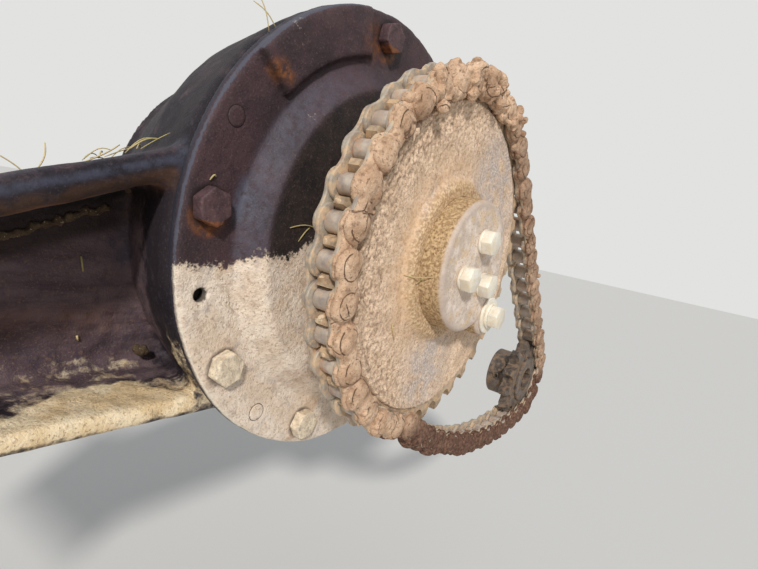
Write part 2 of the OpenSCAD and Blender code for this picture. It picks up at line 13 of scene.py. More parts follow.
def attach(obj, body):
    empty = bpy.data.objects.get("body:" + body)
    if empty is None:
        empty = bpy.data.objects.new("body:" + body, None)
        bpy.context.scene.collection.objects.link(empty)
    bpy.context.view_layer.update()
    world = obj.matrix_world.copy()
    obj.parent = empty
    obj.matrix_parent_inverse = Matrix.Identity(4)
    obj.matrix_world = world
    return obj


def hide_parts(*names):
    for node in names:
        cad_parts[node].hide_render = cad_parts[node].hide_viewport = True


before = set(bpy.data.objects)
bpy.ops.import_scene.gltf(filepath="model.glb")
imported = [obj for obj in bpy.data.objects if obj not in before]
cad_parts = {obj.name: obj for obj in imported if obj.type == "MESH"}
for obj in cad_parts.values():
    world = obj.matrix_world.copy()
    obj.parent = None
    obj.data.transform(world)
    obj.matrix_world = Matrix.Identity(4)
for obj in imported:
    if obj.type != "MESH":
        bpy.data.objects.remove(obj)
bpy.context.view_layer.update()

# Places along Y, in metres. The face that the photo shows is towards -Y.
RING_FACE = -0.250
CHAIN_MIDDLE = -0.357
WHEEL_FACE = -0.3658
DISC_FACE = -0.3998
NUT_FACE = -0.3352
# Radii and angles of the cover and the wheel
BOLT_CIRCLE = 0.225
PLUG_CIRCLE = 0.229
JACK_CIRCLE = 0.227
STATION = 40.0
FIRST_BOLT = 16.4
BARE_STATION = 3
PLUG_ANGLES = (156.4, 236.4)
PAD_ANGLE = 123.5
PAD_HALF = 19.0
PAD_INNER = 0.200
PITCH = 0.03175
WHEEL_PHASE = 3.0
WHEEL_TEETH = 36
SHEAR_AT = (0.080, -42.0)
HUB_BOLT_CIRCLE = 0.0285
HUB_BOLT_ANGLE = 82.0
# Hexagon heads, each across its flats and high, and the hub's washers
COVER_HEAD = (0.0300, 0.0138)
HUB_HEAD = (0.0240, 0.0112)
HUB_NUT = (0.0240, 0.0130)
WASHER_HOLE, WASHER_THICK = 0.0082, 0.003
# Chain plates by the radii of their ends and waist, and where their backs stand along Y
INNER_PLATE, INNER_BACKS = (0.015, 0.0115), (-0.0095, 0.0135)
OUTER_PLATE, OUTER_BACKS = (0.0135, 0.0105), (-0.0137, 0.0177)
PLATE_THICK = 0.004
# Barrels by radius, length, rounding and steps
ROLLER = (0.009525, 0.0178, 0.0007, 24)
BUSH = (0.0068, 0.0188, 0.0002, 16)
PIN = (0.004765, 0.0404, 0.0012, 16)
# Turns a cone's axis from Z to Y
TO_Y = Matrix.Rotation(math.pi / 2, 4, "X")
# The photo's lens and picture width, in millimetres, and the floor's height, in metres
PHOTO_LENS, PHOTO_WIDTH = 24.98, 36.0
FLOOR_HEIGHT = -0.62
# The plane of the upper rib's top, which climbs to the right and falls to the rear
RIB_POINT = Vector((-0.2391, -0.237, 0.062))
RIB_NORMAL = Vector((-0.3345, 0.2079, 0.9191))


def on_circle(radius, degrees, y):
    """The point at that angle round the shaft, counted from +X towards +Z."""
    turn = math.radians(degrees)
    return Vector((radius * math.cos(turn), y, radius * math.sin(turn)))


def radial(co):
    """How far a point lies from the shaft's axis."""
    return math.hypot(co.x, co.z)


def tone(red, green, blue):
    """A colour as a picture shows it, from 0 to 255, as the shader wants it."""
    linear = []
    for part in (red, green, blue):
        part /= 255
        linear.append(part / 12.92 if part < 0.04045 else ((part + 0.055) / 1.055) ** 2.4)
    return (*linear, 1.0)


def smooth(value, low, high):
    """0 below low, 1 above high, and a soft rise between."""
    share = min(max((value - low) / (high - low), 0.0), 1.0)
    return share * share * (3 - 2 * share)


# Finishes


class Finish:
    """One procedural finish. Its patterns read Object coordinates, in metres."""

    def __init__(self, name, metallic=0.0, specular=0.4):
        self.material = bpy.data.materials.new(name)
        self.material.use_nodes = True
        self.nodes = self.material.node_tree.nodes
        self.links = self.material.node_tree.links
        self.shader = self.nodes["Principled BSDF"]
        self.shader.inputs["Metallic"].default_value = metallic
        self.shader.inputs["Specular IOR Level"].default_value = specular
        self.place = self.add("ShaderNodeTexCoord").outputs["Object"]

    def add(self, kind, inputs=None, **settings):
        node = self.nodes.new(kind)
        for key, value in settings.items():
            setattr(node, key, value)
        for key, value in (inputs or {}).items():
            if isinstance(value, bpy.types.NodeSocket):
                self.links.new(value, node.inputs[key])
            else:
                node.inputs[key].default_value = value
        return node

    def clouds(self, size, detail=4.0, grain=0.55, warp=0.0, place=None):
        """Soft blotches of that size, from 0 to 1."""
        inputs = {"Vector": place or self.place, "Scale": 1 / size, "Detail": detail}
        inputs |= {"Roughness": grain, "Distortion": warp}
        return self.add("ShaderNodeTexNoise", inputs).outputs["Fac"]

    def cell_edges(self, size):
        """Distance to the edges of cells of that size."""
        inputs = {"Vector": self.place, "Scale": 1 / size}
        node = self.add("ShaderNodeTexVoronoi", inputs, feature="DISTANCE_TO_EDGE")
        return node.outputs["Distance"]

    def stretched(self, x, y, z):
        """Object coordinates made denser by those factors, for streaks and brushed marks."""
        inputs = {"Vector": self.place, "Scale": (x, y, z)}
        return self.add("ShaderNodeMapping", inputs).outputs["Vector"]

    def span(self, value, low, high, start=0.0, end=1.0):
        """Turns low..high of a pattern into start..end, softly."""
        inputs = {"Value": value, "From Min": low, "From Max": high, "To Min": start, "To Max": end}
        node = self.add("ShaderNodeMapRange", inputs, interpolation_type="SMOOTHSTEP")
        return node.outputs["Result"]

    def sums(self, operation, a, b=0.5):
        return self.add("ShaderNodeMath", {0: a, 1: b}, operation=operation).outputs[0]

    def times(self, a, b):
        return self.sums("MULTIPLY", a, b)

    def plus(self, a, b):
        return self.sums("ADD", a, b)

    def painted(self, name):
        """A value painted on the piece's own vertices."""
        return self.add("ShaderNodeAttribute", attribute_name=name).outputs["Fac"]

    def blend(self, share, a, b):
        """Colour a, or b where share is 1. Three numbers are a colour as a picture shows it."""
        a, b = (tone(*colour) if isinstance(colour, tuple) else colour for colour in (a, b))
        return self.add("ShaderNodeMix", {0: share, 6: a, 7: b}, data_type="RGBA").outputs[2]

    def mottled(self, a, b, limits, *clouds):
        """Colour a under blotches of colour b, which come in between two limits of the pattern."""
        return self.blend(self.span(self.clouds(*clouds), *limits), a, b)

    def patchy(self, name, limits, *clouds):
        """A painted value, broken up by blotches."""
        return self.times(self.painted(name), self.span(self.clouds(*clouds), *limits))

    def sprinkled(self, ground, *layers):
        """Grains over a ground colour. Each layer has a size, two limits, a share and a colour."""
        for size, low, high, share, colour in layers:
            grains = self.span(self.clouds(size, 3, 0.6), low, high)
            ground = self.blend(self.times(grains, share), ground, colour)
        return ground

    def relief(self, height, depth, below=None):
        """A bump of that depth in metres, on top of an earlier one."""
        inputs = {"Height": height, "Distance": depth, "Strength": 1.0}
        if below is not None:
            inputs["Normal"] = below
        return self.add("ShaderNodeBump", inputs).outputs["Normal"]

    def end(self, colour, roughness, normal=None):
        for key, value in (("Base Color", colour), ("Roughness", roughness), ("Normal", normal)):
            if isinstance(value, bpy.types.NodeSocket):
                self.links.new(value, self.shader.inputs[key])
            elif value is not None:
                self.shader.inputs[key].default_value = value
        return self.material


def dust_colour(f, pale, mid, dark, size=0.03):
    """Granular dust: pale and dark grains over soft blotches."""
    ground = f.mottled(mid, pale, (0.38, 0.62), size, 6, 0.6)
    ground = f.sprinkled(ground, (0.0060, 0.52, 0.66, 0.35, dark), (0.0024, 0.55, 0.68, 0.65, dark))
    white = f.span(f.clouds(0.0018, 2, 0.5, place=f.stretched(1.1, 1.0, 0.9)), 0.60, 0.72)
    return f.blend(f.times(white, 0.6), ground, (246, 236, 220))


def cover_finish():
    """Plum film over dark paint above, tan dust below, a worn slope and a thin pale rim. The dark
    upper part and its edge against the lit dust are painted shade; the slope and the rim carry
    painted highlights.
    """
    f = Finish("cover_dusty_paint", specular=0.3)
    # Painted shade: the upper paint's plum tones are kept dark, as in shade.
    paint = f.mottled((57, 44, 48), (76, 56, 60), (0.36, 0.64), 0.055, 6, 0.6)
    olive = f.mottled((41, 37, 37), (58, 50, 46), (0.36, 0.64), 0.030, 6, 0.6)
    paint = f.blend(f.painted("inner"), paint, olive)
    paint = f.sprinkled(paint, (0.0090, 0.50, 0.70, 0.5, (46, 37, 41)),
                        (0.0021, 0.54, 0.68, 0.45, (106, 84, 82)),
                        (0.0015, 0.56, 0.68, 0.5, (36, 30, 34)))
    # Painted highlight and wear: a bluish slate band on the slope.
    worn = f.patchy("worn", (0.25, 0.60), 0.007, 6, 0.7)
    paint = f.blend(worn, paint, (84, 84, 98))
    dust = dust_colour(f, (245, 229, 211), (229, 208, 186), (154, 128, 106))
    grey = f.span(f.clouds(0.034, 7, 0.65, warp=0.5), 0.52, 0.66)
    dust = f.blend(f.times(grey, 0.5), dust, (178, 170, 164))
    orange = f.span(f.clouds(0.075, 5, 0.55), 0.54, 0.72)
    dust = f.blend(f.times(orange, 0.55), dust, (218, 178, 134))
    # The dust line is a painted shadow edge: tan dust below it, shaded dark paint above.
    line = f.plus(f.painted("dust"), f.span(f.clouds(0.030, 7, 0.7), 0.25, 0.75, -0.30, 0.30))
    line = f.plus(line, f.span(f.clouds(0.0040, 4, 0.6), 0.3, 0.7, -0.20, 0.20))
    caked = f.span(line, 0.36, 0.66)
    colour = f.blend(caked, paint, dust)
    stain = f.patchy("stain", (0.32, 0.60), 0.008, 5, 0.65)
    rust = f.mottled((110, 66, 34), (150, 92, 44), (0.4, 0.6), 0.012, 4)
    colour = f.blend(f.times(stain, 0.8), colour, rust)
    frayed = f.span(f.clouds(0.010, 5, 0.7), 0.3, 0.7, -0.35, 0.25)
    rim = f.span(f.plus(f.painted("rim"), frayed), 0.4, 0.8)
    # Painted highlight and wear on the rim's edge: slate-blue above the painted shadow edge, pale
    # below it.
    colour = f.blend(rim, colour, f.blend(caked, (76, 76, 88), (236, 224, 206)))
    colour = f.blend(f.times(f.painted("slate"), 0.9), colour, (46, 47, 58))
    colour = f.blend(f.times(f.painted("joint"), 0.85), colour, (30, 23, 22))
    grain = f.plus(f.clouds(0.0046, 6, 0.7), f.times(f.clouds(0.0021, 3, 0.6), 0.5))
    bump = f.relief(f.times(grain, f.span(caked, 0, 1, 0.45, 1.0)), 0.0022)
    rough = f.plus(f.span(caked, 0, 1, 0.62, 0.94), f.span(f.clouds(0.02), 0.3, 0.7, -0.08, 0.08))
    return f.end(colour, f.sums("SUBTRACT", rough, f.times(worn, 0.2)), bump)


def housing_finish():
    """Slate paint on a rough casting, a mauve-brown film on the web, and tan dust where it lies."""
    f = Finish("housing_slate_paint", specular=0.18)
    paint = f.mottled((28, 25, 31), (46, 40, 45), (0.35, 0.65), 0.09, 6, 0.6)
    paint = f.sprinkled(paint, (0.010, 0.56, 0.70, 0.4, (70, 66, 74)),
                        (0.0022, 0.56, 0.70, 0.4, (84, 78, 84)))
    scuffs = f.clouds(0.0030, 5, 0.7, place=f.stretched(0.10, 1.0, 1.0))
    paint = f.blend(f.span(scuffs, 0.60, 0.74, 0.0, 0.35), paint, (84, 80, 88))
    streaks = f.clouds(0.030, 7, 0.65, place=f.stretched(0.22, 1.0, 1.0))
    film = f.blend(f.span(streaks, 0.36, 0.66), (84, 68, 74), (116, 98, 102))
    film = f.sprinkled(film, (0.014, 0.50, 0.66, 0.5, (72, 64, 74)),
                       (0.0050, 0.56, 0.70, 0.5, (130, 104, 84)),
                       (0.0020, 0.56, 0.70, 0.6, (132, 112, 100)))
    dust = dust_colour(f, (250, 230, 194), (232, 204, 160), (150, 118, 84))
    edge = f.span(f.clouds(0.022, 7, 0.7), 0.25, 0.75, -0.3, 0.3)
    thin = f.span(f.plus(f.painted("film"), edge), 0.25, 0.80)
    thick = f.span(f.plus(f.painted("dust"), edge), 0.30, 0.72)
    colour = f.blend(thin, paint, film)
    rust = f.patchy("rust", (0.30, 0.56), 0.014, 6, 0.65)
    ochre = f.blend(f.span(streaks, 0.40, 0.60), (88, 62, 44), (142, 96, 58))
    colour = f.blend(f.times(rust, 0.55), colour, ochre)
    # Painted bluish sheen of the sky, partly rubbed paint, on the upper rib and the web.
    smudge = f.patchy("smudge", (0.28, 0.60), 0.016, 6, 0.7)
    colour = f.blend(smudge, colour, (66, 68, 82))
    # Dust, with painted shade where it thins on the flange.
    colour = f.blend(thick, colour, dust)
    # Painted shade in the hollow under the upper rib.
    colour = f.blend(f.times(f.painted("hollow"), 0.75), colour, (34, 27, 22))
    grain = f.plus(f.clouds(0.0050, 6, 0.7), f.times(f.clouds(0.0021, 3, 0.6), 0.5))
    deep = f.span(f.sums("MAXIMUM", thick, f.times(thin, 0.6)), 0, 1, 0.35, 1.0)
    bump = f.relief(f.times(grain, deep), 0.0018)
    clean = f.sums("MAXIMUM", thin, thick)
    rough = f.sums("SUBTRACT", f.span(clean, 0, 1, 0.62, 0.90), f.times(smudge, 0.15))
    return f.end(colour, rough, bump)


def mud_finish(name, pale, mid, dark):
    """Dried mud: a skin with pits, crumbs and hairlines, with painted shade: darker, redder brown
    where the mud lies in shade.
    """
    f = Finish(name, specular=0.2)
    ground = f.mottled(mid, pale, (0.36, 0.64), 0.016, 6, 0.6)
    ground = f.blend(f.times(f.span(f.clouds(0.045, 5, 0.5), 0.50, 0.68), 0.5), ground, dark)
    ground = f.sprinkled(ground, (0.0050, 0.52, 0.68, 0.45, dark), (0.0020, 0.54, 0.68, 0.7, dark),
                         (0.0016, 0.62, 0.74, 0.7, (248, 234, 212)))
    line = f.times(f.span(f.cell_edges(0.030), 0.0, 0.025, 1.0, 0.0),
                  f.span(f.clouds(0.03, 3), 0.48, 0.60))
    ring = f.sums("ABSOLUTE", f.sums("SUBTRACT", f.painted("pin_ring"), 0.0112))
    ring = f.times(f.span(ring, 0.0002, 0.0007, 1.0, 0.0), f.span(f.clouds(0.012, 3), 0.44, 0.56))
    line = f.sums("MAXIMUM", line, ring)
    colour = f.blend(f.times(line, 0.85), ground, (92, 64, 46))
    # Painted shade: darker, redder brown mud where the chain lies in shade.
    damp = f.patchy("damp", (0.25, 0.55, 0.80, 1.0), 0.010, 5, 0.6)
    shaded_mud_colour = f.mottled((84, 60, 50), (122, 92, 76), (0.4, 0.62), 0.0035, 4, 0.65)
    colour = f.blend(damp, colour, shaded_mud_colour)
    # Painted shade: dark pits in the mud.
    colour = f.blend(f.times(f.painted("pit"), 0.8), colour, (84, 58, 42))
    bump = f.relief(line, -0.0010)
    bump = f.relief(f.clouds(0.0042, 6, 0.7), 0.0018, bump)
    bump = f.relief(f.clouds(0.0014, 2, 0.6), 0.0005, bump)
    return f.end(colour, 0.93, bump)


def wheel_dust_finish():
    """Tan crumbs over the wheel, with pale grey patches and ochre dust round the hub."""
    f = Finish("wheel_dust", specular=0.2)
    ground = dust_colour(f, (234, 206, 178), (212, 184, 156), (140, 108, 84), 0.02)
    ground = f.sprinkled(ground, (0.0017, 0.54, 0.66, 0.6, (142, 110, 84)))
    grey = f.patchy("bare", (0.34, 0.58), 0.022, 7, 0.7)
    bare = f.mottled((168, 159, 156), (216, 202, 192), (0.42, 0.60), 0.0026, 4, 0.6)
    ground = f.blend(f.times(grey, 0.85), ground, bare)
    rust = f.patchy("rust", (0.34, 0.58), 0.014, 6, 0.65)
    ground = f.blend(f.times(rust, 0.5), ground, (224, 184, 142))
    mound = f.mottled((170, 138, 100), (222, 194, 156), (0.42, 0.60), 0.0026, 4, 0.65)
    ground = f.blend(f.times(f.painted("mound"), 0.8), ground, mound)
    # Painted shade: dark pits between the crumbs.
    ground = f.blend(f.times(f.painted("pit"), 0.8), ground, (104, 74, 54))
    bump = f.relief(f.clouds(0.0036, 5, 0.7), 0.0009)
    bump = f.relief(f.clouds(0.0014, 2, 0.6), 0.0006, bump)
    return f.end(ground, 0.93, bump)


def disc_finish():
    """The drive disc: a pale worn face, darker towards its edge, and a rim under tan grit."""
    f = Finish("drive_disc_steel", metallic=0.1, specular=0.4)
    face = f.mottled((200, 182, 166), (232, 216, 202), (0.36, 0.64), 0.014, 6, 0.6)
    face = f.sprinkled(face, (0.0110, 0.50, 0.66, 0.8, (216, 186, 148)),
                       (0.0019, 0.54, 0.66, 0.65, (156, 134, 120)))
    face = f.blend(f.times(f.painted("lip"), 0.7), face, (188, 170, 156))
    grit = f.mottled((158, 130, 94), (212, 184, 144), (0.40, 0.60), 0.0030, 5, 0.7)
    grit = f.sprinkled(grit, (0.0020, 0.54, 0.66, 0.7, (98, 74, 48)))
    colour = f.blend(f.painted("rim"), face, grit)
    bump = f.relief(f.clouds(0.0030, 5, 0.7), 0.0009)
    return f.end(colour, f.span(f.painted("rim"), 0, 1, 0.6, 0.92), bump)


def bolt_finish():
    """Cover bolts: plum paint with rust at their foot above, and pale dust on the lower ones; the
    split follows the cover's painted shadow edge, so it is partly painted shade.
    """
    f = Finish("cover_bolt_steel", specular=0.35)
    plum = f.mottled((70, 52, 56), (92, 68, 70), (0.36, 0.64), 0.012, 5, 0.6)
    plum = f.sprinkled(plum, (0.0018, 0.56, 0.68, 0.5, (120, 96, 92)))
    dust = f.mottled((204, 188, 164), (232, 216, 190), (0.40, 0.60), 0.008, 6, 0.65)
    dust = f.sprinkled(dust, (0.0060, 0.52, 0.66, 0.5, (160, 154, 148)),
                       (0.0018, 0.55, 0.68, 0.6, (150, 126, 100)))
    edge = f.span(f.clouds(0.008, 5, 0.7), 0.3, 0.7, -0.2, 0.2)
    colour = f.blend(f.span(f.plus(f.painted("dust"), edge), 0.35, 0.65), plum, dust)
    rust = f.span(f.plus(f.painted("rust"), edge), 0.40, 0.75)
    colour = f.blend(f.times(rust, 0.8), colour, (132, 80, 44))
    bump = f.relief(f.clouds(0.0034, 5, 0.7), 0.0010)
    return f.end(colour, f.span(f.painted("dust"), 0, 1, 0.6, 0.9), bump)


def worn_steel_finish(name, bright, dull, rust, dirt, metallic=0.5, roughness=0.42, dirt_share=0.6,
                      rust_share=0.5):
    """Worn steel with rust tints, and dirt that keeps to the blotches it lies in."""
    f = Finish(name, metallic=metallic, specular=0.5)
    ground = f.mottled(dull, bright, (0.35, 0.65), 0.012, 5, 0.6)
    spots = f.span(f.clouds(0.016, 6, 0.65, warp=0.4), 0.54, 0.68)
    ground = f.blend(f.times(spots, rust_share), ground, rust)
    film = f.span(f.clouds(0.009, 7, 0.7), 0.46, 0.60)
    film = f.times(film, dirt_share)
    ground = f.blend(film, ground, dirt)
    scratches = f.clouds(0.002, 3, 0.6, place=f.stretched(1.0, 0.12, 1.0))
    bump = f.relief(scratches, 0.00012)
    bump = f.relief(f.clouds(0.004, 5, 0.6), 0.0003, bump)
    rough = f.plus(f.span(film, 0, 0.6, roughness, 0.85), f.span(scratches, 0.3, 0.7, -0.06, 0.06))
    return f.end(ground, rough, bump)


def rubber_finish(name, colour, dusty):
    """Matt rubber or fibre with dust in its pores."""
    f = Finish(name, specular=0.3)
    film = f.span(f.clouds(0.010, 6, 0.7), 0.45, 0.65)
    ground = f.blend(f.times(film, 0.6), colour, dusty)
    return f.end(ground, 0.8, f.relief(f.clouds(0.002, 4), 0.0002))


def straw_finish():
    """Dry straw, from pale gold to green."""
    f = Finish("straw_stalk", specular=0.3)
    ground = f.mottled((206, 186, 140), (172, 160, 108), (0.4, 0.6), 0.05, 2)
    fibres = f.clouds(0.0008, 2, 0.6)
    return f.end(f.blend(f.span(fibres, 0.5, 0.7, 0, 0.5), ground, (120, 96, 56)), 0.6,
                 f.relief(fibres, 0.0001))


# Shapes


def cad_copy(*nodes):
    """The shapes of CAD nodes, with their loose triangles merged."""
    bm = bmesh.new()
    for node in nodes:
        bm.from_mesh(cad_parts[node].data)
    bmesh.ops.remove_doubles(bm, verts=bm.verts, dist=1e-5)
    return bm


def placed(name, data):
    """An object of that data, in the scene."""
    made = bpy.data.objects.new(name, data)
    bpy.context.scene.collection.objects.link(made)
    return made


def taken(shown):
    """The shape an object ends up with. The object itself goes."""
    bpy.context.view_layer.update()
    graph = bpy.context.evaluated_depsgraph_get()
    mesh = bpy.data.meshes.new_from_object(shown.evaluated_get(graph))
    bpy.data.objects.remove(shown)
    bm = bmesh.new()
    bm.from_mesh(mesh)
    bpy.data.meshes.remove(mesh)
    return bm


def skinned(bm, voxel, passes):
    """One even, closed skin round everything in bm, its edges softened in that many passes."""
    mesh = mesh_of(bm, "rough")
    rough = placed("rough", mesh)
    skin = rough.modifiers.new("skin", "REMESH")
    skin.mode = "VOXEL"
    skin.voxel_size = voxel
    soften = rough.modifiers.new("soften", "SMOOTH")
    soften.factor = 0.5
    soften.iterations = passes
    out = taken(rough)
    bpy.data.meshes.remove(mesh)
    return out


def roughen(bm, layers, seed, share=None):
    """Pushes each vertex along its normal by noises, each of a size and a depth in metres."""
    bm.normal_update()
    shift = Vector((seed, 2 * seed, 3 * seed))
    for v in bm.verts:
        depth = sum(noise.noise(v.co / size + shift) * high for size, high in layers)
        if share:
            depth *= share(v.co)
        v.co += v.normal * depth


def stamp(bm, template, matrix):
    """Adds a template mesh to bm at that place."""
    first = len(bm.verts)
    bm.from_mesh(template)
    bm.verts.ensure_lookup_table()
    bmesh.ops.transform(bm, matrix=matrix, verts=bm.verts[first:])


def mesh_of(bm, name="template"):
    """Turns bm into a mesh, and frees bm."""
    mesh = bpy.data.meshes.new(name)
    bm.to_mesh(mesh)
    bm.free()
    return mesh


def piece(name, bm, finish, body, replaces=(), crease=None):
    """Makes a shown piece of bm, gives it its finish and lets it ride on its body."""
    mesh = mesh_of(bm, name)
    mesh.polygons.foreach_set("use_smooth", [True] * len(mesh.polygons))
    if crease:
        mesh.set_sharp_from_angle(angle=math.radians(crease))
    mesh.materials.append(finish)
    shown = placed(name, mesh)
    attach(shown, body)
    if replaces:
        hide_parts(*replaces)
    return shown


def paint(shown, **marks):
    """Paints numbers on each vertex: each mark is a function of its place and normal."""
    for name, value in marks.items():
        layer = shown.data.attributes.new(name, "FLOAT", "POINT")
        layer.data.foreach_set("value", [value(v.co, v.normal) for v in shown.data.vertices])


def nowhere(co, normal):
    """The mark of a piece that has none."""
    return 0.0


def ellipsoid(bm, centre, radii, turn=0.0, detail=2):
    """A pebble of those radii along X, Y and Z, turned about Y."""
    turned_at = Matrix.Translation(centre) @ Matrix.Rotation(turn, 4, "Y")
    bmesh.ops.create_icosphere(bm, subdivisions=detail, radius=1.0,
                               matrix=turned_at @ Matrix.Diagonal((*radii, 1)))


def surface_of(*pieces):
    """A searchable surface of finished pieces."""
    bm = bmesh.new()
    for shown in pieces:
        bm.from_mesh(shown.data)
    tree = BVHTree.FromBMesh(bm)
    bm.free()
    return tree


def laid(tree, point, along, lift):
    """The point moved along a direction onto the surface, and lifted off it."""
    along = along.normalized()
    hit = tree.ray_cast(point - along * 0.06, along)[0]
    return (hit if hit is not None else point) - along * lift


# Castings


def angle_of(co):
    return math.degrees(math.atan2(co.z, co.x))


def near_angle(co, degrees):
    """Degrees between a point and a direction round the shaft."""
    return abs((angle_of(co) - degrees + 180) % 360 - 180)


def at_bolts():
    """The angles of the eight cover bolts."""
    return [FIRST_BOLT + k * STATION for k in range(9) if k != BARE_STATION]


def cover_dust_and_shade_line(co, normal):
    """The dust lies on the lower part, up to a line that climbs from the rim to the wheel; this
    line is a painted shadow edge, with shaded dark paint above it.
    """
    line = -0.036 + 0.016 * smooth(co.x, -0.200, -0.170) + 0.026 * smooth(co.x, -0.150, -0.090)
    level = smooth(co.z, line + 0.018, line - 0.018)
    return level * smooth(co.y, -0.241, -0.2455) + 0.10 * max(normal.z, 0)


def cover_inner(co, normal):
    """The raised centre, darker than the ring."""
    return smooth(radial(co), 0.176, 0.160)


def cover_worn_and_sheen(co, normal):
    """The slope is rubbed bare to slate and carries a painted bluish highlight, most of all at one
    place on its left.
    """
    radius = radial(co)
    band = smooth(radius, 0.164, 0.178) * smooth(radius, 0.200, 0.186)
    along = smooth(near_angle(co, 162), 75, 20)
    spot = Vector((co.x + 0.189, 0, (co.z - 0.022) * 0.45)).length
    return max(0.50 * band * along, smooth(spot, 0.0145, 0.004) * smooth(co.z, -0.02, -0.005))


def cover_rim_wear_and_highlight(co, normal):
    """The turned edge of the rim, worn thin, with a painted highlight along it."""
    return smooth(radial(co), 0.2474, 0.2488) * smooth(co.y, -0.2445, -0.2465)


def cover_slate(co, normal):
    """The rim's side stays slate-coloured."""
    return smooth(co.y, -0.2462, -0.2440) * smooth(radial(co), 0.2472, 0.2488)


def cover_joint(co, normal):
    """Dirt and shadow drawn close round the bolts, in the jacking hole and at the pad's edge."""
    dark = 0.0
    radius = radial(co)
    for angle in at_bolts():
        near = (co - on_circle(BOLT_CIRCLE, angle, co.y)).length
        dark = max(dark, 0.8 * smooth(near, 0.0205, 0.0165))
    pad_edge = abs(near_angle(co, PAD_ANGLE) - PAD_HALF)
    if 0.198 < radius < 0.2478 and -0.2562 < co.y < RING_FACE + 0.004:
        dark = max(dark, 0.6 * smooth(pad_edge, 1.3, 0.3))
    jack = (co - on_circle(JACK_CIRCLE, 196.4, co.y)).length
    if jack < 0.009 and co.y > RING_FACE + 0.0012:
        dark = 1.0
    return dark


def cover_stain(co, normal):
    """Rust below the pad's corner and under the bolts, and an ochre run low on the cover."""
    spots = ((-0.176, 0.141, 0.016, 1.0), (-0.163, 0.138, 0.010, 0.9), (-0.052, 0.212, 0.030, 0.5),
             (-0.093, -0.155, 0.030, 0.45), (-0.246, -0.055, 0.016, 0.3))
    value = max(high * smooth(math.hypot(co.x - x, co.z - z), size, size * 0.2)
                for x, z, size, high in spots)
    for angle in at_bolts():
        bolt = on_circle(BOLT_CIRCLE, angle, co.y)
        low = (co - bolt - Vector((0.002, 0, -0.0065))).length
        share = (0.9 if bolt.z > -0.05 else 0.35) * smooth(low, 0.0235, 0.0165)
        value = max(value, share * smooth(co.z, bolt.z + 0.004, bolt.z - 0.010))
    return value


COVER_MARKS = {
    "dust": cover_dust_and_shade_line, "inner": cover_inner, "worn": cover_worn_and_sheen, "rim": cover_rim_wear_and_highlight,
    "slate": cover_slate, "joint": cover_joint, "stain": cover_stain,
}


def cover():
    """The cover's skin, fine on its face. Its plug holes are closed up, as the plugs cover them."""
    bm = cad_copy("cover")
    for angle in PLUG_ANGLES:
        hole = Matrix.Translation(on_circle(PLUG_CIRCLE, angle, RING_FACE + 0.006))
        bmesh.ops.create_cone(bm, cap_ends=True, segments=32, radius1=0.0105, radius2=0.0105,
                              depth=0.0118, matrix=hole @ TO_Y)
    bm = skinned(bm, 0.0023, 3)
    for v in bm.verts:
        inner = PAD_INNER - 0.010 < radial(v.co)
        corner = abs(near_angle(v.co, PAD_ANGLE) - PAD_HALF)
        if inner and corner < 2.0 and v.co.y < RING_FACE - 0.0005:
            v.co.y += 0.0012 * smooth(corner, 2.0, 0.0)
    roughen(bm, ((0.060, 0.0011), (0.016, 0.0005), (0.006, 0.00025)), 3.1,
            lambda co: smooth(co.y, -0.2390, -0.2415))
    shown = piece("cover_casting", bm, cover_finish(), "housing", ["cover"])
    paint(shown, **COVER_MARKS)
    return shown


def below_rib_top(co):
    """How far a point lies below the plane of the upper rib's top."""
    return RIB_NORMAL.dot(RIB_POINT - co)


def housing_film(co, normal):
    """A thin mauve-brown film on the arm's web and flanges, and less on the drum and upper rib."""
    arm = smooth(-co.x, 0.150, 0.200)
    web = arm * smooth(-co.y, 0.205, 0.150) * smooth(below_rib_top(co), 0.028, 0.040)
    drum = smooth(radial(co), 0.235, 0.200) * 0.35
    rear = smooth(co.y, -0.012, -0.002)
    return max(0.12 + 0.3 * max(normal.z, 0), web * 0.95, drum * arm, 0.5 * rear,
               0.5 * arm * max(-normal.z, 0))


def housing_dust_and_shade(co, normal):
    """Thick dust on the lower flange, its front lip and its fillet, the drum's low side, and a
    little on whatever faces up. On the flange it thins towards the rear and behind a swept
    line, which is painted shade."""
    end = smooth(math.hypot(co.x + 0.200, (co.y + 0.190) * 0.6), 0.012, 0.024)
    start = smooth(-co.x, 0.186, 0.199)
    flange = smooth(co.z, -0.156, -0.1655) * start * smooth(normal.z, 0.35, 0.85)
    # Painted shade: less dust behind a swept line, where a shadow falls across the flange.
    swept = max(-0.222, -0.178 - 0.62 * max(-co.x - 0.285, 0.0))
    flange *= 1 - 0.75 * smooth(co.y, swept - 0.006, swept + 0.008) * smooth(co.y, -0.120, -0.150)
    lip = (smooth(co.y, -0.226, -0.232) * smooth(co.z, -0.1870, -0.1780) * start
           * smooth(-co.x, 0.612, 0.600) * (co.z < -0.160))
    fillet = smooth(co.z, -0.130, -0.150) * smooth(-co.x, 0.20, 0.23) * smooth(normal.z, 0.0, 0.5)
    rear = smooth(co.y, -0.110, -0.090)
    drum = (smooth(radial(co), 0.232, 0.241) * smooth(-co.z, 0.060, 0.150)
            * smooth(-co.x, 0.10, 0.17) * smooth(-co.y, 0.15, 0.225))
    # Painted shade: thinner dust at the flange's end by the drum and towards the rear.
    flange = flange * (0.35 + 0.75 * end) * (1 - 0.4 * rear)
    return max(flange, 0.8 * lip, 0.30 * fillet, 0.50 * drum, 0.12 * smooth(normal.z, 0.7, 0.95))


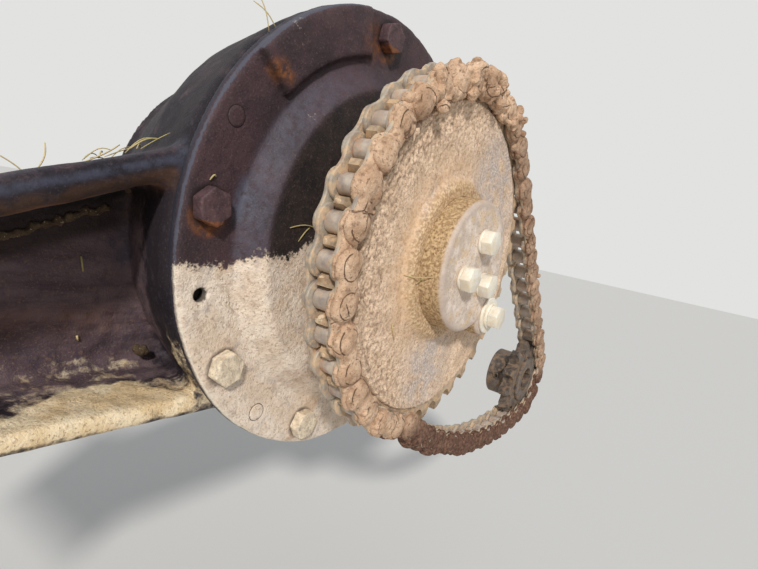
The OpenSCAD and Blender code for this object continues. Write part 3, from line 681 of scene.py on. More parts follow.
def housing_rust(co, normal):
    """Ochre dust and rust on the lower half of the upper rib's nose, and low on the web."""
    depth = below_rib_top(co)
    nose = smooth(depth, 0.013, 0.020) * smooth(depth, 0.040, 0.026) * smooth(-co.y, 0.15, 0.20)
    low = smooth(abs(co.z + 0.118), 0.022, 0.006) * smooth(-co.y, 0.150, 0.136) * 0.45
    return max(nose * smooth(-co.x, 0.225, 0.26), low * smooth(-co.x, 0.20, 0.24))


def housing_hollow_shade(co, normal):
    """Painted shade in the hollow under the upper rib."""
    depth = below_rib_top(co)
    return (smooth(depth, 0.027, 0.034) * smooth(depth, 0.070, 0.056)
            * smooth(-co.y, 0.205, 0.150) * smooth(-co.x, 0.20, 0.24)
            * smooth(co.y, -0.240, -0.20) * smooth(-co.y, 0.120, 0.128))


def housing_smudge(co, normal):
    """Painted bluish sheen, with some rubbed paint, on the upper rib's nose, its end, and one place
    on the web, and fainter on faces turned up and low on the front.
    """
    depth = below_rib_top(co)
    web = smooth(math.hypot(co.x + 0.216, co.z + 0.045), 0.034, 0.008) * smooth(-co.y, 0.16, 0.135)
    line = (smooth(abs(depth - 0.0105), 0.0045, 0.0015) * smooth(-co.y, 0.205, 0.222)
            * smooth(-co.x, 0.225, 0.245))
    end = (smooth(abs(co.x + 0.243), 0.006, 0.002) * smooth(depth, 0.030, 0.012)
           * smooth(-co.y, 0.200, 0.225))
    top = smooth(normal.z, 0.6, 0.95) * smooth(-co.y, 0.19, 0.222) * smooth(-co.x, 0.235, 0.255)
    low = smooth(co.z, -0.158, -0.172) * smooth(-co.y, 0.212, 0.228) * smooth(-co.x, 0.15, 0.19)
    return max(0.55 * web, 0.9 * line, 0.8 * end, 0.35 * top, 0.45 * low)


def housing():
    """The housing's skin: the upper rib's nose is rounded, and lumpy dirt lies in the pocket."""
    bm = skinned(cad_copy("housing"), 0.0042, 4)
    nose = [v for v in bm.verts
            if v.co.x < -0.236 and v.co.y < -0.212 and -0.004 < below_rib_top(v.co) < 0.032]
    for _ in range(26):
        bmesh.ops.smooth_vert(bm, verts=nose, factor=0.5, use_axis_x=False, use_axis_y=True,
                              use_axis_z=True)
    roughen(bm, ((0.070, 0.0014), (0.018, 0.0006)), 7.7)

    def in_pocket(co):
        return (smooth(co.z, -0.095, -0.125) * smooth(co.y, -0.236, -0.215)
                * smooth(-co.y, 0.105, 0.128) * smooth(-co.x, 0.165, 0.20))

    roughen(bm, ((0.016, 0.0022), (0.007, 0.0011)), 2.2, in_pocket)
    shown = piece("housing_casting", bm, housing_finish(), "housing", ["housing"])
    paint(shown, film=housing_film, dust=housing_dust_and_shade, rust=housing_rust, hollow=housing_hollow_shade,
          smudge=housing_smudge)
    return shown


def pocket_dirt(finish):
    """Caked dirt: a ridge on the web below the upper rib, a clump in its corner and a knob."""
    rng = random.Random(21)
    bm = bmesh.new()
    start, end = Vector((-0.560, -0.1310, -0.1345)), Vector((-0.244, -0.1310, -0.0085))
    for k in range(150):
        at = start.lerp(end, (k + rng.uniform(-0.4, 0.4)) / 149)
        at.z += rng.uniform(-0.0030, 0.0030)
        radii = (rng.uniform(0.003, 0.005), rng.uniform(0.002, 0.0036), rng.uniform(0.0016, 0.0034))
        ellipsoid(bm, at, radii, rng.uniform(0, 3))
    corner = Vector((-0.214, -0.1330, 0.0150))
    for _ in range(26):
        away = (rng.gauss(0, 0.010), -abs(rng.gauss(0, 0.0035)), rng.gauss(0, 0.0035))
        at = corner + Vector(away)
        size = rng.uniform(0.0022, 0.0050)
        ellipsoid(bm, at, (size * 1.3, size, size), rng.uniform(0, 3))
    ellipsoid(bm, Vector((-0.2000, -0.1470, -0.1480)), (0.0105, 0.0036, 0.0060), 0.3, 3)
    bm = skinned(bm, 0.0015, 1)
    roughen(bm, ((0.006, 0.0012), (0.0028, 0.0008)), 4.4)
    shown = piece("pocket_dirt", bm, finish, "housing")
    paint(shown, damp=nowhere, pin_ring=nowhere, pit=nowhere)


# Bolts, washers and plugs


def rounded(bm, edges, offset, segments):
    bmesh.ops.bevel(bm, geom=edges, offset=offset, affect="EDGES", segments=segments,
                    profile=0.5, material=-1)


def hexagon(bm, centre, across, height, turn, bevel=0.0006, crown=0.0022, segments=2):
    """A hexagon head that stands towards -Y from centre, its corners turned off by crown."""
    corner = across / math.sqrt(3)
    matrix = (Matrix.Translation(centre + Vector((0, -height / 2, 0)))
              @ Matrix.Rotation(turn, 4, "Y") @ TO_Y)
    made = bmesh.ops.create_cone(bm, cap_ends=True, segments=6, radius1=corner, radius2=corner,
                                 depth=height, matrix=matrix)
    edges = list({e for v in made["verts"] for e in v.link_edges})
    rounded(bm, edges, bevel, segments)
    front = centre.y - height
    outside = corner - crown
    for v in bm.verts:
        flat = Vector((v.co.x - centre.x, 0, v.co.z - centre.z))
        if v.co.y < front + bevel * 1.2 and outside < flat.length < corner * 1.05:
            v.co.y = max(v.co.y, front + (flat.length - outside) * 0.55)


def washer(bm, centre, radius, hole=WASHER_HOLE, thickness=WASHER_THICK):
    """A washer whose back lies at centre, its rims rounded."""
    edge = thickness * 0.25
    outline = [(hole, 0), (radius - edge, 0), (radius, edge), (radius, thickness - edge),
               (radius - edge, thickness), (hole + edge, thickness), (hole, thickness - edge)]
    turned(bm, [(r, -h) for r, h in outline], centre, 48)


def turned(bm, outline, centre, steps):
    """Spins a closed outline of (radius, y) points round the Y axis through centre."""
    verts = [bm.verts.new(Vector((r, y, 0)) + centre) for r, y in outline]
    edges = [bm.edges.new((a, b)) for a, b in zip(verts, verts[1:] + verts[:1])]
    bmesh.ops.spin(bm, geom=verts + edges, cent=centre, axis=(0, 1, 0), dvec=(0, 0, 0),
                          angle=2 * math.pi, steps=steps, use_merge=True)


def outward(bm):
    bmesh.ops.remove_doubles(bm, verts=bm.verts, dist=1e-6)
    bmesh.ops.recalc_face_normals(bm, faces=bm.faces)


def cover_bolts(finish):
    """Eight hexagon heads, worn round at their corners and seated in dust."""
    bm = bmesh.new()
    for angle in at_bolts():
        centre = on_circle(BOLT_CIRCLE, angle, RING_FACE + 0.0008)
        head = bmesh.new()
        hexagon(head, centre, *COVER_HEAD, -math.radians(angle + 17), bevel=0.0014, crown=0.0026,
                segments=3)
        stamp(bm, mesh_of(head), Matrix.Identity(4))
    bm = skinned(bm, 0.0011, 1)
    roughen(bm, ((0.009, 0.0005), (0.004, 0.0003)), 8.8)
    shown = piece("cover_bolt_heads", bm, finish, "housing", ["cover_bolts"])
    centres = [on_circle(BOLT_CIRCLE, angle, RING_FACE) for angle in at_bolts()]

    def nearest(co):
        return min(centres, key=lambda centre: (co - centre).length)

    # Painted shade and dust: the bolts low on the cover are pale, those above the painted shadow
    # edge stay dark plum.
    def dust(co, normal):
        return smooth(nearest(co).z, 0.03, -0.10) * (0.8 + 0.4 * max(normal.z, 0))

    def rust(co, normal):
        bolt = nearest(co)
        foot = smooth(co.z - bolt.z, -0.008, -0.015) * smooth(bolt.z, -0.15, 0.0)
        return foot + 0.3 * smooth(bolt.z, 0.19, 0.21) * smooth(bolt.x, -0.1, 0)

    paint(shown, dust=dust, rust=rust)


def cover_plugs(finish, joint, skin):
    """Flush plugs that follow the cover's face, each in a hairline joint."""
    tree = surface_of(skin)
    plugs, joints = bmesh.new(), bmesh.new()
    inwards = Vector((0, 1, 0))
    plug = [(0.0, 0.004), (0.0087, 0.004), (0.0089, -0.0003), (0.0086, -0.0006), (0.006, -0.0007),
            (0.003, -0.0007), (0.0, -0.0007)]
    joint_ring = [(0.0087, 0.001), (0.0095, 0.001), (0.0095, -0.00022), (0.0091, -0.00035),
                  (0.0087, -0.00022)]
    for angle in PLUG_ANGLES:
        centre = on_circle(PLUG_CIRCLE, angle, RING_FACE)
        turned(plugs, plug, centre, 40)
        turned(joints, joint_ring, centre, 48)
    for bm in (plugs, joints):
        outward(bm)
        for v in bm.verts:
            if v.co.y < RING_FACE + 0.0005:
                v.co = laid(tree, v.co, inwards, RING_FACE - v.co.y)
    face = piece("cover_plug_faces", plugs, finish, "housing", ["cover_plugs"], 50)
    paint(face, **COVER_MARKS | {"joint": nowhere})
    piece("cover_plug_joints", joints, joint, "housing", crease=50)


def hub_fittings(zinc):
    """Three hub bolts on washers, and the shear bolt on its two washers."""
    bolts, washers, shear, rings, nut = (bmesh.new() for _ in range(5))
    raised = Vector((0, -WASHER_THICK, 0))
    worn = {"bevel": 0.0007, "crown": 0.0012, "segments": 3}
    for k in range(3):
        angle = HUB_BOLT_ANGLE + 120 * k
        centre = on_circle(HUB_BOLT_CIRCLE, angle, DISC_FACE)
        washer(washers, centre, 0.0130)
        hexagon(bolts, centre + raised, *HUB_HEAD, -math.radians(angle + 11), **worn)
    at = on_circle(*SHEAR_AT, DISC_FACE)
    washer(rings, at, 0.021)
    washer(rings, at + raised, 0.0150)
    hexagon(shear, at + 2 * raised, *HUB_HEAD, math.radians(-20), **worn)
    back = on_circle(*SHEAR_AT, NUT_FACE)
    hexagon(nut, back + Vector((0, -HUB_NUT[1], 0)), *HUB_NUT, 0.0)
    bmesh.ops.create_cone(nut, cap_ends=True, segments=24, radius1=0.0077, radius2=0.0077,
                          depth=0.020, matrix=Matrix.Translation(back) @ TO_Y)
    made = (("hub_bolt_heads", bolts, "hub_bolts"), ("hub_bolt_washers", washers, "hub_washers"),
            ("shear_bolt_head", shear, "shear_bolt"),
            ("shear_bolt_washers", rings, "shear_washers"), ("shear_bolt_nut", nut, "shear_nut"))
    for name, bm, node in made:
        outward(bm)
        piece(name, bm, zinc, "output", [node], crease=35)


def drive_disc(finish):
    bm = skinned(cad_copy("drive_disc"), 0.0013, 3)
    roughen(bm, ((0.020, 0.0003), (0.006, 0.0002), (0.0028, 0.00012)), 1.9)
    shown = piece("drive_disc_worn", bm, finish, "output", ["drive_disc"])
    paint(shown, rim=lambda co, normal: smooth(co.y, DISC_FACE + 0.0020, DISC_FACE + 0.0055),
          lip=lambda co, normal: smooth(radial(co), 0.0585, 0.0675))


# Chain


def link_places(node):
    """The middle and the direction, in X and Z, of each chain link in a CAD node."""
    bm = cad_copy(node)
    places, seen = [], set()
    for start in bm.verts:
        if start in seen:
            continue
        stack, island = [start], []
        seen.add(start)
        while stack:
            v = stack.pop()
            island.append(v.co)
            for e in v.link_edges:
                other = e.other_vert(v)
                if other not in seen:
                    seen.add(other)
                    stack.append(other)
        low = [min(co[i] for co in island) for i in (0, 2)]
        high = [max(co[i] for co in island) for i in (0, 2)]
        x, z = (low[0] + high[0]) / 2, (low[1] + high[1]) / 2
        xx = sum((co.x - x) ** 2 for co in island)
        zz = sum((co.z - z) ** 2 for co in island)
        xz = sum((co.x - x) * (co.z - z) for co in island)
        places.append((Vector((x, CHAIN_MIDDLE, z)), 0.5 * math.atan2(2 * xz, xx - zz)))
    bm.free()
    return places


def plate_template(end, waist):
    """A chain plate: two round ends and a waist, its edges rounded, its back at Y 0."""
    half = PITCH / 2
    curve = (half ** 2 + waist ** 2 - end ** 2) / (2 * (end - waist))
    start = math.pi - math.atan2(waist + curve, half)
    outline = []
    for k in range(13):
        a = -start + 2 * start * k / 12
        outline.append((half + end * math.cos(a), end * math.sin(a)))
    sweep = math.atan2(half, waist + curve)
    for k in range(1, 4):
        a = sweep - 2 * sweep * k / 4
        outline.append((curve * math.sin(a), waist + curve - curve * math.cos(a)))
    outline += [(-x, -z) for x, z in outline]
    bm = bmesh.new()
    face = bm.faces.new([bm.verts.new((x, 0, z)) for x, z in outline])
    made = bmesh.ops.extrude_face_region(bm, geom=[face])
    top = [v for v in made["geom"] if isinstance(v, bmesh.types.BMVert)]
    bmesh.ops.translate(bm, verts=top, vec=(0, -PLATE_THICK, 0))
    rims = [e for e in bm.edges if abs(e.verts[0].co.y - e.verts[1].co.y) < 1e-7]
    rounded(bm, rims, 0.0008, 2)
    bmesh.ops.recalc_face_normals(bm, faces=bm.faces)
    return mesh_of(bm)


def barrel_template(radius, length, edge, segments):
    """A cylinder along Y round the origin, with rounded ends."""
    bm = bmesh.new()
    half = length / 2
    cut = edge * 0.3
    outline = [(0, -half), (radius - edge, -half), (radius - cut, -half + cut),
               (radius, -half + edge), (radius, half - edge), (radius - cut, half - cut),
               (radius - edge, half), (0, half)]
    turned(bm, outline, Vector(), segments)
    outward(bm)
    return mesh_of(bm)


def chain(plates_finish, roller_finish):
    """Real links: inner plates with rollers, outer plates with riveted pins."""
    inner, outer = plate_template(*INNER_PLATE), plate_template(*OUTER_PLATE)
    roller, bush, pin = (barrel_template(*shape) for shape in (ROLLER, BUSH, PIN))
    inner_plates, rollers, outer_plates = (bmesh.new() for _ in range(3))
    links = (("roller_links", inner_plates, inner, INNER_BACKS, rollers, (roller, bush)),
             ("pin_links", outer_plates, outer, OUTER_BACKS, outer_plates, (pin,)))
    for node, plates, plate, backs, barrels, shapes in links:
        for middle, angle in link_places(node):
            turn = Matrix.Translation(middle) @ Matrix.Rotation(-angle, 4, "Y")
            for back in backs:
                stamp(plates, plate, turn @ Matrix.Translation((0, back, 0)))
            for side in (-1, 1):
                at = turn @ Matrix.Translation((side * PITCH / 2, 0, 0))
                for shape in shapes:
                    stamp(barrels, shape, at)
    made = (("chain_inner_plates", inner_plates, plates_finish, ["roller_links"]),
            ("chain_rollers", rollers, roller_finish, ()),
            ("chain_outer_plates", outer_plates, plates_finish, ["pin_links"]))
    for name, bm, finish, replaced in made:
        piece(name, bm, finish, "housing", replaced, crease=40)


def mud_lobe(end, waist, swell):
    """Mud over one plate: two swollen round ends and a waist between, flattened at its back."""
    bm = bmesh.new()
    for side in (-1, 1):
        ellipsoid(bm, Vector((side * PITCH / 2, 0, 0)), (end, swell, end), 0.0, 4)
    ellipsoid(bm, Vector(), (PITCH * 0.52, swell * 0.86, waist), 0.0, 4)
    bm = skinned(bm, 0.0019, 2)
    for v in bm.verts:
        v.co.y = min(v.co.y, 0.0022)
    return mesh_of(bm)


def chain_pins():
    """Every pin's place on the chain's middle plane."""
    pins = []
    for middle, angle in link_places("pin_links"):
        along = Vector((math.cos(angle), 0, math.sin(angle)))
        pins += [middle + along * side * PITCH / 2 for side in (-1, 1)]
    return pins


def dampness(co, normal):
    """Painted shade: darker, redder mud where the chain leaves the wheel at the bottom, at the top
    right and on the right strand.
    """
    bottom = smooth(co.z, -0.150, -0.196) * smooth(co.x, -0.075, -0.015)
    top = smooth(near_angle(co, 38), 40, 12) * 0.55
    strand = smooth(co.x, 0.190, 0.215) * 0.45
    return max(bottom, top * smooth(co.z, -0.02, 0.02), strand)


def chain_mud(finish):
    """Mud caked on the chain's front: a figure eight on each link, with lumps and crumbs on it."""
    rng = random.Random(11)
    bm = bmesh.new()
    lobes = {"pin_links": (mud_lobe(0.0152, 0.0108, 0.0066), -0.0174),
             "roller_links": (mud_lobe(0.0160, 0.0118, 0.0052), -0.0132)}
    lumps = bmesh.new()
    for kind, (lobe, face) in lobes.items():
        for middle, angle in link_places(kind):
            on_wheel = smooth(radial(middle), 0.215, 0.19)
            grown = 0.72 + 0.28 * on_wheel
            size = Matrix.Diagonal((rng.uniform(0.97, 1.03), grown * rng.uniform(0.85, 1.15),
                                    rng.uniform(0.95, 1.06), 1))
            turn = Matrix.Rotation(-angle + rng.uniform(-0.03, 0.03), 4, "Y")
            stamp(bm, lobe, Matrix.Translation(middle + Vector((0, face, 0))) @ turn @ size)
            along = Vector((math.cos(angle), 0, math.sin(angle)))
            outwards = Vector((middle.x, 0, middle.z)).normalized()
            lumpy = smooth(near_angle(middle, 96), 58, 26) * on_wheel
            for _ in range(int(11 * lumpy) + 2):
                spot = middle + along * rng.uniform(-0.6, 0.6) * PITCH
                spot += outwards * rng.uniform(-0.013, 0.014)
                spot.y = CHAIN_MIDDLE + face - rng.uniform(-0.001, 0.003 + 0.004 * lumpy)
                wide = rng.uniform(0.0025, 0.0045) * (1 + 0.8 * lumpy)
                radii = (wide, wide * 0.9, wide * rng.uniform(0.8, 1.2))
                ellipsoid(lumps, spot, radii, rng.uniform(0, 3))
    lumps = skinned(lumps, 0.0015, 1)
    roughen(lumps, ((0.006, 0.0014), (0.0028, 0.0008)), 9.3)
    stamp(bm, mesh_of(lumps), Matrix.Identity(4))
    roughen(bm, ((0.014, 0.0016), (0.0062, 0.0007), (0.0031, 0.0004)), 5.3)
    shown = piece("chain_mud_front", bm, finish, "housing")
    places = chain_pins()
    pins = KDTree(len(places))
    for k, pin in enumerate(places):
        pins.insert(Vector((pin.x, 0, pin.z)), k)
    pins.balance()
    elsewhere = Vector((7, 7, 7))
    paint(
        shown,
        pin_ring=lambda co, normal: pins.find(Vector((co.x, 0, co.z)))[2],
        damp=dampness,
        # Painted shade: dark pits scattered in the mud.
        pit=lambda co, normal: 0.5 * smooth(noise.noise(co / 0.0046 + elsewhere), -0.32, -0.55),
    )


def chain_mud_roll(finish):
    """A thick roll of brown mud round the chain where it leaves the wheel's bottom."""
    rng = random.Random(17)
    bm = bmesh.new()
    for pin in chain_pins():
        if pin.z > -0.168 or not -0.055 < pin.x < 0.235:
            continue
        outwards = Vector((0.25, 0, -1)).normalized()
        for _ in range(3):
            at = pin + outwards * rng.uniform(0.001, 0.007)
            at += Vector((rng.uniform(-0.008, 0.008), 0, 0))
            at.y = CHAIN_MIDDLE - rng.uniform(0.002, 0.010)
            ellipsoid(bm, at, (0.0135, 0.0125, 0.0125), rng.uniform(0, 3), 3)
    bm = skinned(bm, 0.0017, 3)
    bm.normal_update()
    for v in bm.verts:
        ridge = math.sin((v.co.x * 0.97 - v.co.z * 0.25) / 0.00055 + 4 * noise.noise(v.co / 0.02))
        v.co += v.normal * (0.00045 * ridge + 0.0008 * noise.noise(v.co / 0.006))
    shown = piece("chain_mud_roll", bm, finish, "housing")
    # Painted shade: the whole roll is darkened, most of all on its downward faces.
    paint(shown, damp=lambda co, normal: 0.4 + 0.6 * smooth(normal.z, 0.75, 0.2),
          pin_ring=nowhere, pit=nowhere)


def wheel_mud(finish, nub_finish):
    """Crumbs caked on the wheel's face, a mound round the hub, and nubs on the teeth."""
    bm = bmesh.new()
    inner, outer, step = 0.0700, 0.1650, 0.0011
    count = int((outer - inner) / step)
    outline = [(inner, WHEEL_FACE + 0.001)]
    outline += [(inner + step * k, WHEEL_FACE - 0.0004) for k in range(count + 1)]
    outline += [(outer, WHEEL_FACE + 0.001)]
    turned(bm, outline, Vector(), 660)
    outward(bm)
    for v in bm.verts:
        if v.co.y > WHEEL_FACE:
            continue
        radius = radial(v.co)
        left = smooth(near_angle(v.co, 175), 125, 45)
        coarse = smooth(radius, 0.100, 0.150) * (0.08 + 0.92 * left)
        crumbs = (smooth(noise.noise(v.co / 0.0036), -0.15, 0.45)
                  + 0.6 * smooth(noise.noise(v.co / 0.0019), 0.0, 0.5))
        soft = noise.noise(v.co / 0.024) * 0.0007 + noise.noise(v.co / 0.008) * 0.0004
        mound = (0.0075 * smooth(radius, 0.092, 0.079)
                 * (0.35 + 0.65 * smooth(near_angle(v.co, 190), 140, 60)))
        bank = 0.0040 * smooth(radius, 0.149, 0.163) * (0.3 + 0.7 * left)
        edge = smooth(radius, outer, outer - 0.0015)
        rise = 0.0008 + soft + crumbs * (0.0002 + 0.0013 * coarse) + mound + bank
        v.co.y = WHEEL_FACE - max(rise, 0.0002) * (0.3 + 0.7 * edge)
    shown = piece("wheel_mud_face", bm, finish, "output")

    def bare(co, normal):
        right = smooth((co - Vector((0.085, co.y, 0.090))).length, 0.100, 0.03)
        arc = (0.8 * smooth(abs(math.hypot(co.x - 0.02, co.z) - 0.098), 0.012, 0.003)
               * smooth(near_angle(co, 150), 60, 20))
        below = smooth((co - Vector((0.000, co.y, -0.118))).length, 0.070, 0.015)
        return max(right, arc, below)

    def rust(co, normal):
        return smooth(radial(co), 0.125, 0.090) * smooth(near_angle(co, 155), 110, 50)

    # Painted shade in the low places between the crumbs.
    def pit(co, normal):
        coarse = 0.65 * smooth(radial(co), 0.105, 0.150) * smooth(near_angle(co, 175), 125, 45)
        return 0.7 * smooth(noise.noise(co / 0.0036), -0.10, -0.42) * (0.35 + coarse)

    paint(shown, bare=bare, rust=rust, pit=pit,
          mound=lambda co, normal: smooth(radial(co), 0.091, 0.082))

    rng = random.Random(4)
    nubs = bmesh.new()
    for k in range(WHEEL_TEETH):
        angle = WHEEL_PHASE + (k + 0.5) * 360 / WHEEL_TEETH
        for _ in range(3):
            at = on_circle(rng.uniform(0.1815, 0.1885), angle + rng.uniform(-0.5, 0.5),
                           CHAIN_MIDDLE + rng.uniform(-0.0045, 0.0045))
            radii = (rng.uniform(0.0035, 0.0050), 0.0044, rng.uniform(0.0030, 0.0042))
            ellipsoid(nubs, at, radii, -math.radians(angle))
    nubs = skinned(nubs, 0.0012, 1)
    roughen(nubs, ((0.004, 0.0007),), 2.0)
    teeth = piece("tooth_mud_nubs", nubs, nub_finish, "output")
    paint(teeth, damp=nowhere, pin_ring=nowhere, pit=nowhere)
    return shown


def stalk(curve, points, thick):
    """One stalk through the points, thinner at its ends."""
    line = curve.splines.new("POLY")
    line.points.add(len(points) - 1)
    for k, (place, spot) in enumerate(zip(line.points, points)):
        place.co = (*spot, 1)
        place.radius = thick * (0.7 if k in (0, len(points) - 1) else 1.0)


def straw(finish, stalks, name, body):
    """A few stalks of straw as one piece."""
    curve = bpy.data.curves.new(name, "CURVE")
    curve.dimensions = "3D"
    curve.bevel_depth = 1.0
    curve.bevel_resolution = 1
    curve.use_fill_caps = True
    for points, thick in stalks:
        stalk(curve, points, thick)
    bm = taken(placed(name, curve))
    bpy.data.curves.remove(curve)
    outward(bm)
    piece(name, bm, finish, body)


def bent(start, end, bow, steps=6):
    """Points from start to end along a soft bow."""
    return [start.lerp(end, k / steps) + bow * math.sin(math.pi * k / steps)
            for k in range(steps + 1)]


def spread(tree, spots, y, lift):
    """Points given by X and Z, laid on a surface from in front of it."""
    return [laid(tree, Vector((x, y, z)), Vector((0, 1, 0)), lift) for x, z in spots]


def loose_straw(finish, arm, cover_skin, wheel_skin):
    """Straw in the corner of arm and drum, and single stalks on the cover, web and wheel."""
    rng = random.Random(31)
    tree = surface_of(arm)
    down = Vector((0, 0, -1))
    heap = []
    for k in range(22):
        x, y = -0.262 + rng.gauss(0, 0.015), rng.uniform(-0.205, -0.125)
        turn = rng.gauss(0.25, 0.5)
        reach = Vector((math.cos(turn), math.sin(turn) * 0.6, 0)) * rng.uniform(0.020, 0.050)
        start = laid(tree, Vector((x, y, 0.03)), down, 0.0006 + 0.0002 * k)
        end = laid(tree, Vector((x, y, 0.03)) + reach, down, rng.uniform(0.001, 0.010))
        if abs(end.z - start.z) < 0.020:
            bow = Vector((0, 0, rng.uniform(0.0, 0.005)))
            heap.append((bent(start, end, bow), rng.uniform(0.0004, 0.0007)))
    upright = ((-0.336, -0.205, 0.004, 0.018), (-0.300, -0.190, 0.030, 0.020),
               (-0.322, -0.150, -0.020, 0.012))
    for x, y, reach, rise in upright:
        foot = laid(tree, Vector((x, y, 0.02)), down, 0.0)
        end = foot + Vector((reach, 0.004, rise))
        heap.append((bent(foot, end, Vector((0.002, 0, 0))), 0.0006))
    for web, thick in ((((-0.2625, -0.0560), (-0.2590, -0.0700)), 0.0013),
                       (((-0.2580, -0.1320), (-0.2560, -0.1370)), 0.0015)):
        heap.append((spread(tree, web, -0.16, 0.0012), thick))
    for foot, tip in (((-0.1870, 0.1690), (-0.2000, 0.1960)),
                      ((-0.1800, 0.1745), (-0.2030, 0.1880))):
        start, end = Vector((foot[0], -0.2465, foot[1])), Vector((tip[0], -0.240, tip[1]))
        heap.append((bent(start, end, Vector((0, -0.002, 0.002))), 0.0005))
    straw(finish, heap, "straw_on_housing", "housing")

    tree = surface_of(cover_skin)
    marks = (((-0.2270, 0.0350), (-0.2215, 0.0385), 0.0008),
             ((-0.1480, 0.0060), (-0.1120, 0.0090), 0.0006),
             ((-0.1330, -0.0060), (-0.1210, 0.0085), 0.0006),
             ((-0.2130, -0.0640), (-0.1860, -0.0740), 0.0004))
    bow = Vector((0, -0.001, 0.003))
    stalks = [(bent(*spread(tree, ends, -0.28, 0.0008), bow), thick) for *ends, thick in marks]
    straw(finish, stalks, "straw_on_cover", "housing")

    tree = surface_of(wheel_skin)
    marks = (((-0.0300, 0.0300), (-0.0200, 0.0100), (-0.0540, -0.0230), 0.0009),
             ((-0.0680, -0.0160), (-0.0600, -0.0170), (-0.0470, -0.0130), 0.0007),
             ((-0.0700, -0.0640), (-0.0650, -0.0720), (-0.0600, -0.0800), 0.0007))
    left = 0.02
    stalks = [(spread(tree, [(x - left, z) for x, z in spots], -0.39, 0.0012), thick)
              for *spots, thick in marks]
    straw(finish, stalks, "straw_on_wheel", "output")


# Scene


def dress_cad(finishes):
    """Gives the CAD nodes that stay their finishes."""
    for name, finish in finishes.items():
        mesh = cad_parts[name].data
        mesh.materials.clear()
        mesh.materials.append(finish)


def camera():
    """The photograph's view."""
    lens = bpy.data.cameras.new("photo_view")
    lens.sensor_width = PHOTO_WIDTH
    lens.lens = PHOTO_LENS
    lens.clip_start = 0.02
    shown = placed("photo_view", lens)
    right = Vector((0.5606, -0.8048, 0.1947))
    back = Vector((-0.8281, -0.5449, 0.1318))
    up = back.cross(right)
    turn = Matrix((right, up, back)).transposed().to_4x4()
    shown.matrix_world = Matrix.Translation((-0.5087, -0.6204, 0.0356)) @ turn
    bpy.context.scene.camera = shown


def floor():
    """A plain pale floor, well below the part."""
    bm = bmesh.new()
    bmesh.ops.create_grid(bm, x_segments=4, y_segments=4, size=14.0,
                          matrix=Matrix.Translation((0, 0, FLOOR_HEIGHT)))
    mesh = mesh_of(bm, "studio_floor")
    mesh.materials.append(Finish("studio_floor", specular=0.1).end(tone(214, 213, 210), 0.95))
    shown = placed("studio_floor", mesh)


def lights():
    """One soft key from the upper left front, and a pale sky that fills the shadows."""
    sun = bpy.data.lights.new("key", "SUN")
    sun.energy = 2.8
    sun.angle = math.radians(5)
    sun.color = (1.0, 0.97, 0.93)
    lamp = placed("key", sun)
    lamp.rotation_euler = Vector((0.72, 0.50, -0.50)).to_track_quat("-Z", "Y").to_euler()
    world = bpy.data.worlds.new("studio")
    bpy.context.scene.world = world
    world.use_nodes = True
    nodes, links = world.node_tree.nodes, world.node_tree.links
    sky = nodes["Background"]
    sky.inputs["Color"].default_value = (0.93, 0.96, 1.0, 1)
    sky.inputs["Strength"].default_value = 0.50
    seen = nodes.new("ShaderNodeBackground")
    seen.inputs["Color"].default_value = tone(226, 226, 224)
    seen.inputs["Strength"].default_value = 1.0
    path = nodes.new("ShaderNodeLightPath")
    mix = nodes.new("ShaderNodeMixShader")
    rays = ("Is Camera Ray", "Is Glossy Ray", "Is Transmission Ray")
    shares = [path.outputs[kind] for kind in rays]
    for share in shares[1:]:
        either = nodes.new("ShaderNodeMath")
        either.operation = "MAXIMUM"
        links.new(shares[0], either.inputs[0])
        links.new(share, either.inputs[1])
        shares[0] = either.outputs[0]
    links.new(shares[0], mix.inputs[0])
    links.new(sky.outputs[0], mix.inputs[1])
    links.new(seen.outputs[0], mix.inputs[2])
    links.new(mix.outputs[0], nodes["World Output"].inputs[0])


bpy.context.scene.view_settings.view_transform = "Standard"
camera()
floor()
lights()

chain_mud_finish = mud_finish("chain_mud", (224, 192, 162), (196, 161, 131), (132, 98, 74))
nub_mud_finish = mud_finish("tooth_mud", (228, 204, 172), (206, 178, 146), (156, 124, 96))
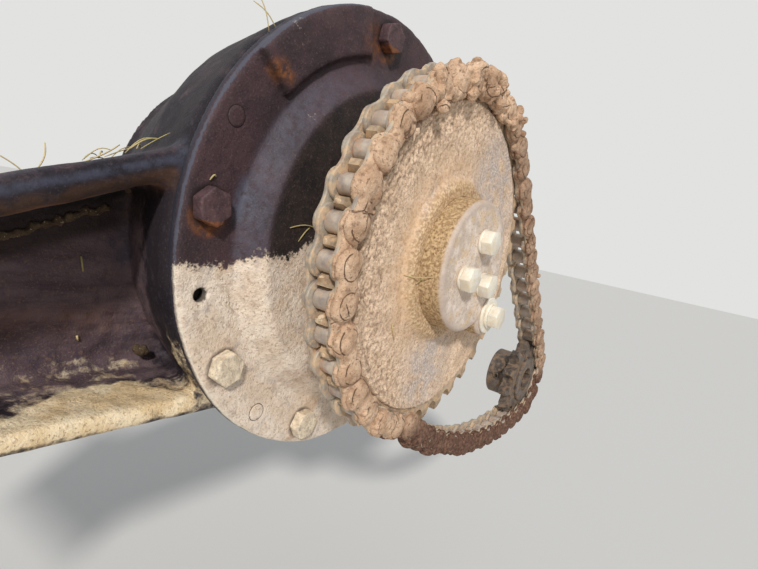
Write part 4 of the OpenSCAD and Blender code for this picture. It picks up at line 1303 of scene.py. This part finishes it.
# The arm's caked dirt has dark tones that include painted shade, as it lies under the upper rib.
arm_dirt_and_shade_finish = mud_finish("caked_arm_dirt_and_shade", (108, 90, 70), (86, 70, 54), (62, 50, 40))
plate_steel = worn_steel_finish("chain_plate_steel", (190, 180, 164), (160, 148, 136),
                                (184, 130, 90), (212, 184, 150), 0.3, 0.45, 0.9)
roller_steel = worn_steel_finish("roller_steel", (204, 190, 174), (166, 154, 146),
                                 (200, 142, 98), (204, 172, 140), 0.35, 0.38, 0.35, 0.7)
disc_steel = disc_finish()
zinc = worn_steel_finish("zinc_plating", (240, 235, 222), (222, 214, 198),
                         (226, 200, 146), (222, 204, 172), 0.2, 0.36, 0.45, 0.25)
dark_steel = worn_steel_finish("oily_steel", (110, 100, 92), (76, 68, 64),
                               (122, 84, 60), (150, 124, 98), 0.4, 0.45, 0.7, 0.4)
wheel_steel = worn_steel_finish("wheel_edge_steel", (190, 168, 140), (150, 130, 108),
                                (166, 116, 76), (206, 174, 138), 0.25, 0.5, 0.9, 0.5)
shaft_steel = worn_steel_finish("turned_steel", (176, 176, 178), (150, 150, 154),
                                (150, 120, 96), (150, 132, 112), 0.8, 0.30, 0.3, 0.25)
seal_rubber = rubber_finish("seal_rubber", (38, 38, 41), (104, 90, 78))
gasket_fibre = rubber_finish("gasket_fibre", (46, 44, 42), (92, 80, 70))
joint_dirt = rubber_finish("plug_joint_dirt", (24, 20, 20), (44, 36, 34))

arm_skin = housing()
pocket_dirt(arm_dirt_and_shade_finish)
cover_skin = cover()
cover_bolts(bolt_finish())
cover_plugs(cover_skin.data.materials[0], joint_dirt, cover_skin)
drive_disc(disc_steel)
hub_fittings(zinc)
chain(plate_steel, roller_steel)
chain_mud(chain_mud_finish)
chain_mud_roll(chain_mud_finish)
wheel_skin = wheel_mud(wheel_dust_finish(), nub_mud_finish)
loose_straw(straw_finish(), arm_skin, cover_skin, wheel_skin)
dress_cad({
    "drain_plug": dark_steel, "gasket": gasket_fibre, "shaft_seal": seal_rubber,
    "rear_bearing": shaft_steel, "shaft": shaft_steel, "hub": dark_steel, "wheel": wheel_steel,
    "pinion": dark_steel, "pinion_screw": dark_steel,
})
